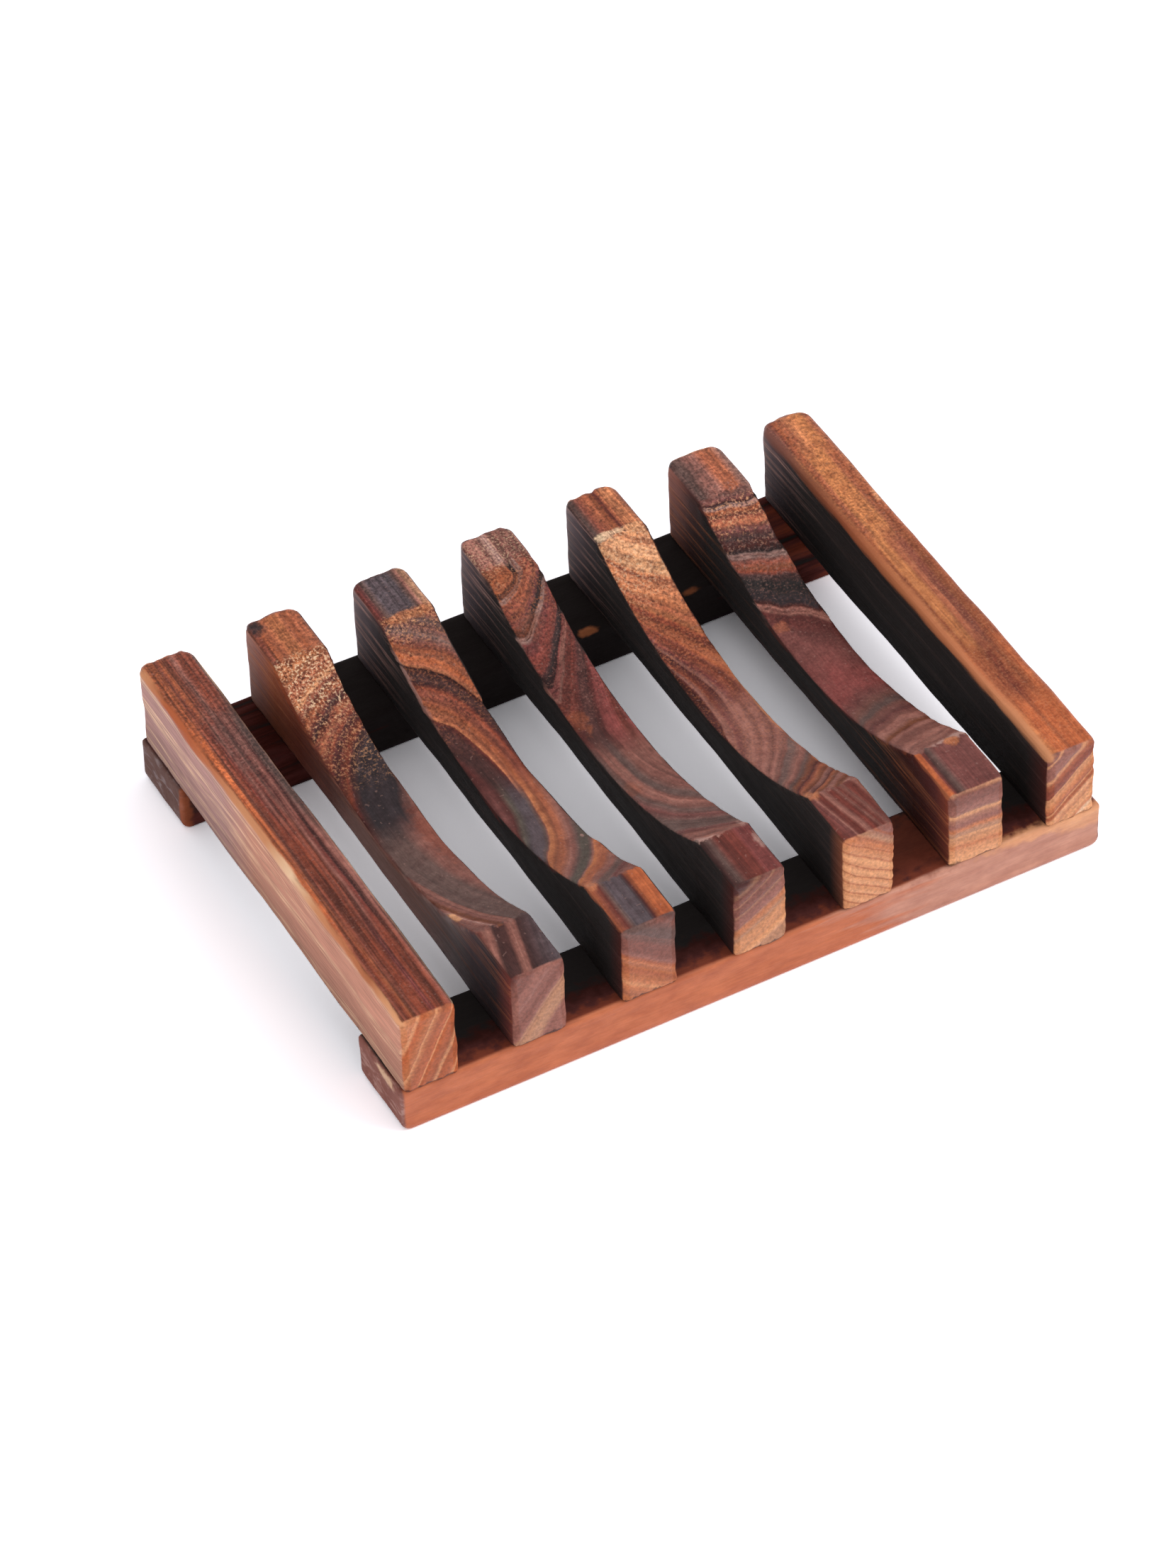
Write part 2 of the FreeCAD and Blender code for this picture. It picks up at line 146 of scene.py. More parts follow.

# The wood of each slat, in millimetres from its middle and from the lowest point of the scoop.
# zones: the top from the rear to the front: where each zone begins, over how far it blends in, how its
#   grain lies and its tones. The grain of a slope is the tilt of the growth layers (slope, twist, bow), with
#   the tones met from low to high; that of a flat is how far its lines drift, with the tones met from left
#   to right.
# end: the slope of the layers on the end grain, and the tones met there from low to high.
# left, right: the tones of the flanks from front to rear; the pale tones near the rear end of the inner
# flanks are painted light.
# lines: the fine growth lines of the top (gap, depth). rings: those of the end grain (gap, tone, strength).
# brushed: the pale lines of the flanks (strength, tone, strength at the front).
# grain: the places that the brush left rough (from, to, tone of the bare grains, strength); the pale bare
# grains are partly painted glints.
# worn edge: the edge bared by the brush, on the outer slats also a painted highlight (edge, tones from front
# to rear, strength, reach).
# marks: single scorched or bare places, and one painted glint (across, along, half width, half length, tone,
# strength).
SLATS = {
    "left_side_slat": {
        "zones": (
            (42, 0, 0.0, ((-4.3, "rust"), (-2.1, "rust"), (-1.5, "russet"), (-0.9, "rust"),
             (0.3, "russet"), (0.9, "rose"), (1.5, "russet"), (2.1, "brick"), (2.7, "russet"),
             (3.3, "brick"), (4.3, "rose"))),
            (27, 10, 0.0, ((-4.3, "orange"), (-2.7, "orange"), (-2.1, "russet"), (-1.5, "brick"),
             (-0.9, "maroon"), (-0.3, "mauve"), (0.3, "maroon"), (0.9, "mauve"), (1.5, "plum"),
             (2.1, "mauve"), (2.7, "plum"), (3.3, "dusk"), (4.3, "dusk"))),
            (2, 12, 0.0, ((-4.3, "orange"), (-3.3, "orange"), (-2.7, "rust"), (-2.1, "russet"),
             (-1.5, "brick"), (-0.3, "brick"), (0.3, "russet"), (0.9, "brick"), (1.5, "mauve"),
             (2.1, "maroon"), (2.7, "plum"), (3.3, "mauve"), (4.3, "rose"))),
            (-22, 12, 0.0, ((-4.3, "rust"), (-3.3, "russet"), (-2.7, "brick"), (-2.1, "rust"),
             (-1.5, "russet"), (-0.9, "brick"), (0.3, "brick"), (0.9, "wine"), (1.5, "brick"),
             (2.7, "brick"), (3.3, "russet"), (4.3, "rose"))),
        ),
        "end": (2.1, ((-11, "orange"), (-5, "rust"), (0, "orange"), (3, "copper"), (7, "amber"),
                (10, "orange"), (13, "peach"), (18, "gold"))),
        "left": ((-42, "blush"), (4, "blush"), (14, "dust"), (42, "dust")),
        "right": SINGED,
        "lines": (0.6, 0.52), "rings": (1.2, "tan", 0.6), "brushed": (0.5, "cream", 0.3),
        "grain": ((-42, 42, "rose", 0.25),),
        # The pale tan, cream and gold along the left edge is worn wood and a painted highlight.
        "worn": ("left", ((-42, "tan"), (-38, "tan"), (-32, "amber"), (-24, "peach"), (-16, "gold"),
                 (-8, "cream"), (0, "gold"), (8, "gold"), (16, "peach"), (24, "orange"), (32, "orange"),
                 (40, "gold")), 0.95, 0.5),
        "marks": ((1.0, 21, 2.2, 8, "dusk", 0.35),),
    },
    "scooped_slat_1": {
        "zones": (
            (42, 0, 0.0, ((-4.3, "brown"), (-3.3, "russet"), (-2.7, "rust"), (-1.5, "copper"),
             (-0.3, "amber"), (0.9, "amber"), (1.5, "copper"), (2.1, "rust"), (3.0, "copper"),
             (4.3, "copper"))),
            (31.5, 1.0, (0.32, -0.01, 0.007), ((-1.5, "mauve"), (-0.9, "coal"), (1.2, "coal"),
             (1.6, "umber"), (1.8, "plum"), (2.1, "brick"), (2.5, "plum"), (2.9, "plum"),
             (3.15, "brick"), (3.5, "russet"), (3.9, "copper"), (4.1, "russet"), (4.25, "char"),
             (4.6, "plum"), (5.0, "brick"), (5.4, "rust"), (5.7, "rust"), (6.0, "russet"),
             (6.4, "copper"), (6.7, "gold"), (7.0, "peach"), (7.3, "copper"), (8.0, "copper"),
             (8.7, "amber"), (9.2, "amber"))),
            (0, 8, (1.3, 0.04, 0.087), ((-1.7, "mauve"), (-0.9, "mauve"), (0.1, "dusk"), (5.6, "dusk"),
             (6.0, "mauve"), (6.3, "rose"), (6.9, "rose"), (7.4, "mauve"), (8.4, "mauve"),
             (9.2, "brown"), (10.2, "brown"), (10.9, "rose"), (11.4, "rose"), (11.8, "ash"),
             (12.3, "rose"), (13, "mauve"))),
            (-31.5, 0.8, -0.24, ((-4, "maroon"), (-3.2, "mauve"), (-2.6, "rose"), (-2.1, "mauve"),
             (-1.6, "umber"), (0.0, "umber"), (0.5, "mauve"), (1.0, "rose"), (1.6, "mauve"),
             (2.0, "umber"), (6, "slate"))),
        ),
        "end": (1.29, ((-9, "rose"), (-5, "rose"), (-3.2, "sand"), (0.4, "sand"), (1.4, "rose"),
                (3, "mauve"), (5, "rose"), (8.4, "rose"), (9.6, "mauve"), (12, "mauve"), (14, "plum"))),
        "left": ((-42, "maroon"), (-37, "coal"), (-30, "slate"), (-24, "smoke"), (-12, "ash"),
                 (6, "ash"), (15, "mauve"), (24, "brick"), (33, "rust"), (37, "rose"), (42, "ash")),
        "right": SINGED,
        "lines": (0.6, 0.26), "rings": (1.6, "mauve", 0.3), "brushed": (0.3, "amber", 0.3),
        "grain": ((24, 32.3, "cream", 1.0), (13, 24, "tan", 0.5)),
        "worn": ("left", ((-42, "maroon"), (42, "maroon")), 0.4, 0.3),
        "marks": ((-2.9, 40.4, 1.6, 1.7, "coal", 0.95), (-4.0, -23.6, 0.9, 1.9, "tan", 0.85),
                  (3.4, -3, 1.5, 7, "russet", 0.6)),
    },
    "scooped_slat_2": {
        "zones": (
            (42, 0, 0.0, ((-4.3, "maroon"), (-3.5, "wine"), (-2.7, "dusk"), (-1.8, "slate"),
             (1.6, "slate"), (2.2, "dusk"), (2.8, "rose"), (3.4, "sand"), (4.3, "sand"))),
            (31.5, 1.0, (-0.51, 0.0147, 0.022), ((-2.3, "plum"), (-1.6, "umber"), (-0.3, "umber"),
             (0.2, "plum"), (0.4, "maroon"), (0.55, "peach"), (0.8, "copper"), (1.2, "copper"),
             (1.6, "rust"), (2.2, "russet"), (2.7, "russet"), (2.95, "brick"), (3.2, "plum"),
             (3.5, "umber"), (4.0, "umber"), (4.3, "char"), (4.48, "pitch"), (4.6, "russet"),
             (4.75, "peach"), (5.0, "copper"), (5.5, "orange"), (5.9, "copper"), (6.3, "rust"),
             (6.6, "russet"), (7.0, "mauve"), (7.4, "dusk"), (8.2, "mauve"), (8.8, "dusk"),
             (9.2, "mauve"), (9.6, "russet"))),
            (0, 8, (-0.58, 0.006, 0.008), ((-2.3, "prune"), (-1.7, "plum"), (-1.1, "olive"),
             (-0.5, "slate"), (0.4, "slate"), (0.8, "dusk"), (1.0, "mauve"), (1.2, "peach"),
             (1.5, "amber"), (1.9, "copper"), (2.4, "copper"), (3.1, "rose"), (3.35, "mauve"),
             (3.7, "dusk"), (4.0, "olive"), (4.6, "olive"), (4.9, "dusk"), (5.15, "rose"),
             (5.5, "amber"), (6.1, "copper"), (6.6, "copper"), (7.2, "rose"), (7.6, "mauve"),
             (8.0, "dusk"), (8.6, "dusk"), (9.1, "prune"), (9.6, "mauve"))),
            (-31.5, 0.8, 0.0, ((-4.3, "rust"), (-3.3, "russet"), (-2.8, "maroon"), (-2.1, "dusk"),
             (-1.5, "slate"), (0.9, "slate"), (1.5, "plum"), (2.0, "rust"), (2.7, "orange"),
             (4.3, "orange"))),
        ),
        "end": (-0.69, ((-6, "amber"), (-4.5, "peach"), (-3.8, "gold"), (-3.0, "peach"),
                (-2.2, "amber"), (-1, "copper"), (-0.3, "amber"), (0.4, "peach"), (1.1, "copper"),
                (1.8, "rose"), (2.6, "mauve"), (4.6, "mauve"), (5.6, "dusk"), (8, "dusk"),
                (10, "mauve"), (12, "coal"))),
        "left": SOOT_WITH_PAINTED_LIGHT_AT_REAR,
        "right": BURNT,
        "lines": (0.7, 0.36), "rings": (2.4, "rose", 0.3), "brushed": (0.04, "ash", 0.05),
        "grain": ((29.5, 32.8, "tan", 0.8), (12, 29.5, "peach", 0.3)),
        "worn": ("left", ((-42, "rust"), (-31, "copper"), (-25, "plum"), (8, "plum"), (14, "rose"),
                 (26, "ash"), (30, "plum"), (42, "maroon")), 0.6, 0.22),
        # The small ash mark 3.4 mm right of the middle and 15.7 mm to the front is a painted glint.
        "marks": ((0.3, 31.7, 4.6, 1.0, "amber", 0.8), (-3.4, -31, 1.0, 1.6, "peach", 0.6),
                  (3.4, -15.7, 0.25, 0.45, "ash", 0.7)),
    },
    "scooped_slat_3": {
        "zones": (
            (42, 0, 0.0, ((-4.3, "umber"), (-3.4, "mauve"), (-2.7, "rose"), (-1.5, "rose"),
             (-0.3, "ash"), (0.3, "rose"), (0.9, "mauve"), (3.3, "mauve"), (4.3, "rose"))),
            # In this rear zone the thin rose and ash stops just before each pitch groove are painted
            # highlights on the rims of the ridges.
            (34.5, 2.0, (0.44, -0.003, -0.053), ((-2.5, "wine"), (-2.1, "maroon"), (-1.8, "maroon"),
             (-1.2, "wine"), (-0.5, "wine"), (-0.2, "plum"), (0.1, "umber"), (0.6, "umber"),
             (0.9, "plum"), (1.15, "maroon"), (1.9, "maroon"), (2.1, "rose"), (2.28, "wine"),
             (2.38, "pitch"), (2.8, "pitch"), (3.1, "plum"), (3.35, "maroon"), (4.0, "maroon"),
             (4.5, "wine"), (4.9, "wine"), (5.16, "ash"), (5.3, "pitch"), (5.75, "pitch"),
             (6.0, "plum"), (6.3, "wine"), (6.8, "russet"), (8.0, "russet"), (8.14, "ash"),
             (8.28, "pitch"), (8.7, "pitch"), (9.0, "rust"))),
            (0, 8, (0.5, -0.02, 0.0), ((-2.9, "mauve"), (-0.1, "mauve"), (0.5, "dusk"), (0.9, "dusk"),
             (1.5, "mauve"), (1.9, "rose"), (2.5, "mauve"), (3.1, "dusk"), (4.0, "prune"),
             (5.0, "dusk"), (6.2, "dusk"), (6.8, "prune"), (7.5, "mauve"), (8.5, "mauve"),
             (9.0, "rose"), (9.3, "ash"))),
            (-31.5, 0.5, 0.0, ((-4.3, "pitch"), (-3.6, "umber"), (-2.7, "dusk"), (-1.5, "maroon"),
             (0.9, "maroon"), (1.5, "wine"), (4.3, "wine"))),
        ),
        "end": (0.67, ((-6, "sand"), (-4.5, "sand"), (-3.4, "tan"), (-2.6, "gold"), (-0.8, "gold"),
                (0.4, "sand"), (1.8, "peach"), (2.6, "rose"), (3.9, "rose"), (5, "mauve"),
                (8.1, "mauve"), (8.7, "plum"), (11, "umber"))),
        "left": SOOT_WITH_PAINTED_LIGHT_AT_REAR,
        "right": BURNT,
        "lines": (0.5, 0.4), "rings": (0.95, "sand", 0.45), "brushed": (0.04, "ash", 0.05),
        "grain": ((33.5, 41, "cream", 0.45), (26, 33.5, "amber", 0.6), (6, 26, "rose", 0.3)),
        "worn": ("left", ((-42, "soot"), (10, "soot"), (13, "rose"), (16, "soot"), (20, "soot"),
                 (23, "ash"), (26, "soot"), (42, "umber")), 0.6, 0.2),
        "marks": ((-0.8, 30, 3.4, 2.6, "rust", 0.5), (-1.6, 24.5, 2.2, 2.6, "rust", 0.4),
                  (-2.9, 7, 1.5, 2.6, "rust", 0.5), (-2.9, -10, 1.5, 2.0, "rust", 0.3),
                  (3.7, -35, 0.8, 1.6, "ash", 0.8), (3.6, -30.6, 0.8, 1.2, "ash", 0.5),
                  (-3.4, -30.6, 0.9, 0.9, "ash", 0.5)),
    },
    "scooped_slat_4": {
        "zones": (
            (42, 0, 0.0, ((-4.3, "umber"), (-3.3, "dusk"), (-2.1, "russet"), (-0.9, "copper"),
             (0.2, "rust"), (0.7, "brick"), (0.95, "plum"), (1.3, "copper"), (2.1, "peach"),
             (3.3, "peach"), (4.3, "copper"))),
            (31.5, 0.5, (-0.38, 0.0, -0.013), ((-1.5, "char"), (-1.3, "plum"), (-1.1, "rose"),
             (-0.85, "brick"), (-0.5, "plum"), (-0.3, "plum"), (-0.05, "rose"), (0.2, "wine"),
             (0.5, "russet"), (0.9, "brick"), (1.1, "russet"), (1.35, "rust"), (1.6, "copper"),
             (1.85, "rust"), (2.1, "brick"), (2.4, "brick"), (2.6, "rust"), (2.8, "amber"),
             (3.4, "copper"), (4.0, "amber"), (4.5, "peach"), (5.3, "peach"), (5.6, "copper"),
             (5.85, "amber"), (6.1, "gold"), (6.4, "tan"), (6.9, "gold"), (7.4, "gold"), (7.8, "tan"),
             (8.3, "tan"), (8.9, "peach"), (9.5, "gold"))),
            (0, 8, (-0.45, 0.0, 0.0), ((-1.5, "plum"), (-1.3, "rose"), (-1.0, "mauve"), (-0.8, "prune"),
             (-0.3, "mauve"), (0.0, "rose"), (0.3, "rose"), (0.7, "mauve"), (1.3, "rose"),
             (1.7, "mauve"), (2.2, "rose"), (2.6, "mauve"), (2.8, "dusk"), (3.2, "dusk"), (3.8, "rose"),
             (4.1, "mauve"), (4.35, "dusk"), (4.9, "brown"), (5.3, "plum"), (5.6, "russet"),
             (6.0, "copper"), (6.4, "brown"), (6.7, "rose"), (7.0, "plum"), (7.4, "copper"),
             (7.7, "brown"), (8.1, "rose"), (8.5, "rose"), (8.8, "brown"), (9.2, "brown"),
             (9.8, "rose"))),
            (-31.5, 0.5, 0.19, ((-5.5, "maroon"), (-3.9, "prune"), (-3.6, "rose"), (-3.2, "maroon"),
             (-2.4, "maroon"), (-2.0, "rose"), (-1.5, "mauve"), (-1.0, "maroon"), (-0.4, "maroon"),
             (0.0, "mauve"), (0.5, "maroon"), (1.2, "mauve"), (1.8, "maroon"), (2.6, "maroon"),
             (3.2, "mauve"), (4.3, "maroon"))),
        ),
        "end": (-0.71, ((-6, "gold"), (-4.8, "tan"), (-4.2, "gold"), (-3.3, "tan"), (-2.4, "gold"),
                (-1.2, "tan"), (-0.2, "gold"), (1.0, "tan"), (2.0, "gold"), (3.2, "tan"), (4.2, "gold"),
                (6.5, "peach"), (8, "sand"), (9.4, "rose"), (11, "mauve"))),
        # From 29 mm to the rear end the soot pales: painted light on the rounded rear corner.
        "left": ((-42, "brown"), (-38, "soot"), (29, "soot"), (34, "coal"), (38, "slate"),
                 (42, "smoke")),
        "right": BURNT,
        "lines": (0.45, 0.34), "rings": (0.75, "copper", 0.6), "brushed": (0.04, "ash", 0.05),
        "grain": ((22, 32, "cream", 0.45), (10, 23, "peach", 0.4), (-14, 12, "peach", 0.25)),
        "worn": ("right", ((-42, "plum"), (-14, "peach"), (0, "gold"), (10, "amber"), (14, "char"),
                 (31, "char"), (42, "rust")), 0.6, 0.3),
        "marks": ((-1.8, 32.1, 2.7, 0.8, "cream", 0.75), (2.4, 31.9, 2.0, 0.5, "tan", 0.7),
                  (-3.3, -31.2, 1.3, 1.2, "peach", 0.7)),
    },
    "scooped_slat_5": {
        "zones": (
            (42, 0, 0.0, ((-4.5, "umber"), (-3.3, "dusk"), (-1.5, "mauve"), (-0.3, "rose"),
             (0.9, "copper"), (2.7, "copper"), (4.5, "ash"))),
            # In this rear zone the thin ash stops just before the pitch grooves, at 3.86 and 7.9, are
            # painted highlights on the rims of the ridges.
            (31.5, 1.0, (-0.1, 0.002, -0.007), ((-0.5, "prune"), (0.1, "prune"), (0.5, "plum"),
             (0.8, "plum"), (0.97, "rose"), (1.1, "char"), (1.3, "coal"), (1.8, "soot"), (2.2, "soot"),
             (2.7, "umber"), (2.95, "brick"), (3.2, "brown"), (3.5, "russet"), (3.74, "mauve"),
             (3.86, "ash"), (4.0, "pitch"), (4.4, "char"), (4.7, "char"), (5.1, "umber"), (5.5, "plum"),
             (5.85, "prune"), (6.1, "russet"), (6.4, "copper"), (6.7, "copper"), (7.0, "russet"),
             (7.4, "rust"), (7.7, "rust"), (7.9, "ash"), (8.05, "pitch"), (8.25, "plum"),
             (8.5, "prune"), (8.9, "mauve"))),
            (0, 8, (-0.08, -0.008, -0.02), ((-0.5, "prune"), (0.1, "wine"), (0.4, "wine"),
             (0.8, "prune"), (1.15, "mauve"), (1.4, "dusk"), (1.6, "dusk"), (1.9, "mauve"),
             (2.4, "prune"), (2.9, "mauve"), (3.3, "rose"), (3.65, "rose"), (3.9, "brown"),
             (4.1, "brown"), (4.3, "mauve"), (4.55, "rose"), (4.9, "mauve"), (5.6, "mauve"),
             (6.1, "rose"), (7.5, "rose"), (8.1, "mauve"), (8.5, "rose"), (8.8, "ash"))),
            (-31.5, 0.5, 0.0, ((-4.5, "orange"), (-3.7, "orange"), (-3.3, "maroon"), (-2.8, "umber"),
             (-2.1, "dusk"), (-1.2, "prune"), (4.5, "prune"))),
        ),
        "end": (-0.07, ((-4.7, "tan"), (-2.5, "gold"), (-1.8, "peach"), (-1.1, "gold"), (0, "sand"),
                (1, "sand"), (1.7, "peach"), (2.4, "rose"), (3.8, "rose"), (4.5, "sand"), (5.2, "rose"),
                (6, "rose"), (7, "mauve"), (9, "mauve"))),
        # From 29 mm to the rear end the soot pales: painted light on the rounded rear corner.
        "left": ((-42, "brick"), (-38, "plum"), (-30, "char"), (-22, "soot"), (29, "soot"),
                 (34, "umber"), (38, "mauve"), (42, "rose")),
        "right": BURNT,
        "lines": (0.8, 0.38), "rings": (2.2, "tan", 0.65), "brushed": (0.06, "amber", 0.55),
        "grain": ((27, 30.6, "tan", 0.9), (30.6, 33.5, "ash", 0.4), (18, 25, "ash", 0.25),
                  (-12, 18, "rose", 0.2)),
        "worn": ("left", ((-42, "amber"), (-31, "orange"), (-28, "plum"), (10, "plum"), (15, "ash"),
                 (20, "plum"), (25, "ash"), (28, "plum"), (42, "umber")), 0.5, 0.25),
        "marks": ((2.0, -31.6, 1.3, 1.1, "amber", 0.9), (-3.2, 9, 1.2, 1.2, "copper", 0.5),
                  (-2.6, 38, 2.0, 3.0, "dusk", 0.5)),
    },
    "right_side_slat": {
        "zones": (
            (42, 0, 0.0, ((-4.3, "umber"), (-3.9, "plum"), (-3.3, "mauve"), (-2.7, "russet"),
             (-2.1, "rust"), (-1.5, "copper"), (-0.9, "copper"), (-0.3, "peach"), (1.5, "ochre"),
             (2.4, "ochre"), (3.3, "copper"), (4.2, "copper"))),
            (33, 8, 0.0, ((-4, "ochre"), (-3.3, "ochre"), (-2.7, "rust"), (-2.1, "copper"),
             (-1.5, "ochre"), (1.2, "ochre"), (1.8, "copper"), (2.6, "rust"), (3.3, "copper"),
             (4.2, "ochre"))),
            (11, 8, 0.0, ((-4, "gold"), (-3.3, "ochre"), (-2.7, "rust"), (-2.2, "ochre"),
             (-0.9, "ochre"), (-0.3, "copper"), (0.3, "copper"), (0.9, "russet"), (1.5, "russet"),
             (2.1, "rust"), (3.3, "rust"), (4.2, "copper"))),
            (-16, 8, 0.0, ((-4, "gold"), (-3.3, "orange"), (-2.7, "rust"), (-0.9, "rust"),
             (-0.3, "brick"), (0.3, "brick"), (0.9, "rust"), (1.5, "rust"), (2.7, "orange"),
             (4.2, "rust"))),
            (-30, 8, 0.0, ((-4, "gold"), (-3.3, "ochre"), (-2.1, "orange"), (-0.9, "orange"),
             (-0.3, "rust"), (0.3, "orange"), (3.3, "orange"), (4.2, "copper"))),
        ),
        "end": (0.9, ((-7, "tan"), (-6.2, "cream"), (-5, "peach"), (-4.1, "tan"), (-3, "amber"),
                (-1.3, "tan"), (-0.6, "copper"), (0.5, "copper"), (1.5, "peach"), (2.5, "gold"),
                (3.6, "russet"), (5, "russet"), (5.9, "copper"), (7, "rose"), (9.5, "rose"),
                (11, "mauve"))),
        # From 29 mm to the rear end the soot pales: painted light on the rounded rear corner.
        "left": ((-42, "char"), (-36, "soot"), (29, "soot"), (34, "coal"), (38, "slate"),
                 (42, "smoke")),
        "right": ((-42, "blush"), (0, "rose"), (42, "mauve")),
        "lines": (0.8, 0.2), "rings": (1.2, "tan", 0.6), "brushed": (0.04, "ash", 0.05),
        "grain": ((-42, 42, "gold", 0.25),),
        # The pale gold and peach along the left edge is worn wood and a painted highlight.
        "worn": ("left", ((-42, "gold"), (-20, "peach"), (0, "amber"), (16, "rust"), (28, "brown"),
                 (42, "mauve")), 0.9, 0.8),
        "marks": ((3.4, 19.5, 0.7, 1.4, "tan", 0.6), (-0.8, -25, 1.2, 3.5, "brick", 0.55)),
    },
}

# The wood of each rail, in millimetres across and along from its middle, and up from the floor.
# face: the tones of the front face from left to right.
# inwards: the tones behind that face, from the front edge to the rear, where they differ; their darkening
# inwards is partly painted shade under the slats.
# end, streak: the tones of the ends. gloss, sheen: roughness of the front face, and strength of its shine.
# marks: single scorched or bare places (place, half sizes, tone, strength).
RAIL_WOOD = {
    "front_rail": {
        "face": ((-57, "clay"), (15, "clay"), (26, "blush"), (57, "blush")),
        "inwards": ((0.2, "brick"), (1.2, "brick"), (2.5, "plum"), (4.5, "char"), (6.5, "soot")),
        "end": "mauve", "streak": "ash", "gloss": 0.42, "sheen": 0.25,
        "marks": (((0.0, 30, 8.0), (6.5, 11, 2.0), "brick", 0.8),
                  ((-6.7, 50, 7.7), (1.6, 13, 1.3), "tan", 0.8),
                  ((-6.7, 56, 6.4), (1.0, 6, 2.0), "tan", 0.7),
                  ((-2.0, -57.4, 7.0), (3.2, 0.8, 0.8), "cream", 0.6)),
    },
    "rear_rail": {
        "face": ((-57, "umber"), (-46, "plum"), (-40, "char"), (-34, "soot"), (40, "soot"),
                 (44, "char"), (49, "plum"), (57, "brick")),
        "inwards": None,
        "end": "dusk", "streak": "smoke", "gloss": 0.8, "sheen": 0.1,
        "marks": (((-6.6, 10.8, 8), (0.9, 1.7, 0.8), "amber", 0.8),
                  ((-6.6, 28.4, 8), (0.8, 1.6, 0.7), "amber", 0.6),
                  ((-6.6, -57, 4), (1.0, 1.2, 5), "rust", 0.8)),
    },
}


class SoapDishSizes(bpy.types.PropertyGroup):
    """Lengths that a user would change."""

    scoop_land: FloatProperty(
        name="Scoop Land", description="Flat top left at each end of a scooped slat",
        default=10.5 * MM, min=2 * MM, max=30 * MM, subtype="DISTANCE", unit="LENGTH")
    scoop_web: FloatProperty(
        name="Scoop Web", description="Wood left under the lowest point of the scoop",
        default=5.1 * MM, min=2 * MM, max=12 * MM, subtype="DISTANCE", unit="LENGTH")
    top_round: FloatProperty(
        name="Top Round", description="Radius of the worn upper edges",
        default=0.8 * MM, min=0.1 * MM, max=3 * MM, subtype="DISTANCE", unit="LENGTH")
    under_round: FloatProperty(
        name="Under Round", description="Radius of the crisp lower edges",
        default=0.3 * MM, min=0.1 * MM, max=3 * MM, subtype="DISTANCE", unit="LENGTH")
    front_corner: FloatProperty(
        name="Front Corner", description="Radius of the upright corners at the front ends",
        default=0.9 * MM, min=0.1 * MM, max=3 * MM, subtype="DISTANCE", unit="LENGTH")
    rear_corner: FloatProperty(
        name="Rear Corner", description="Radius of the upright corners at the rear ends",
        default=1.8 * MM, min=0.1 * MM, max=3 * MM, subtype="DISTANCE", unit="LENGTH")
    foot_round: FloatProperty(
        name="Foot Round", description="Radius of the lower edge at each end of a rail",
        default=1.5 * MM, min=0.1 * MM, max=4 * MM, subtype="DISTANCE", unit="LENGTH")
    mesh_step: FloatProperty(
        name="Mesh Step", description="Side of the faces that carry the brushed relief",
        default=0.3 * MM, min=0.2 * MM, max=2 * MM, subtype="DISTANCE", unit="LENGTH")
    relief: FloatProperty(
        name="Brushed Relief", description="How far the hard growth layers stand proud of the burnt ones",
        default=0.45 * MM, min=0.0, max=1 * MM, subtype="DISTANCE", unit="LENGTH")
    line_relief: FloatProperty(
        name="Line Relief", description="How far the fine growth lines stand out",
        default=0.2 * MM, min=0.0, max=1 * MM, subtype="DISTANCE", unit="LENGTH")
    waviness: FloatProperty(
        name="Waviness", description="How far the faces wander from flat",
        default=0.2 * MM, min=0.0, max=1 * MM, subtype="DISTANCE", unit="LENGTH")


class SoapDishFinish(bpy.types.PropertyGroup):
    """Colours of the stage and of the steel that a user would change."""

    steel: FloatVectorProperty(
        name="Brad Steel", description="Colour of the plain steel brads",
        size=3, subtype="COLOR", min=0.0, max=1.0, default=linear("#8C8B8A"))
    floor: FloatVectorProperty(
        name="Floor", description="Colour of the plain floor",
        size=3, subtype="COLOR", min=0.0, max=1.0, default=linear("#FBFAFF"))


def tone_colour(tone):
    return linear(TONES[tone][0])


def tone_height(tone):
    return (TONES[tone][1],) * 3


def add(tree, kind, links=None, out=0, **settings):
    """Adds a node with its settings, links or sets its inputs, and gives back one of its outputs.
    A tone's name sets its colour."""
    node = tree.nodes.new(kind)
    for name, value in settings.items():
        setattr(node, name, value)
    for key, value in (links or {}).items():
        if isinstance(value, bpy.types.NodeSocket):
            tree.links.new(value, node.inputs[key])
        else:
            fixed = (*tone_colour(value), 1.0) if isinstance(value, str) else value
            node.inputs[key].default_value = fixed
    return node.outputs[out] if node.outputs else node


def grain_frame(tree, position, origin, along_x):
    """Millimetres across the grain, along it and up from the origin, and the place in the whole dish."""
    place = add(tree, VECTOR, {0: position, "Scale": 1 / MM}, operation="SCALE")
    local = add(tree, VECTOR, {0: place, 1: [v / MM for v in origin]}, operation="SUBTRACT")
    split = add(tree, "ShaderNodeSeparateXYZ", {0: local}).node
    x, y, z = split.outputs
    if along_x:
        x, y = y, x
        local = add(tree, "ShaderNodeCombineXYZ", {0: x, 1: y, 2: z})
        split = add(tree, "ShaderNodeSeparateXYZ", {0: place}).node
        along, across, up = split.outputs
        place = add(tree, "ShaderNodeCombineXYZ", {0: across, 1: along, 2: up})
    return SimpleNamespace(x=x, y=y, z=z, local=local, place=place)


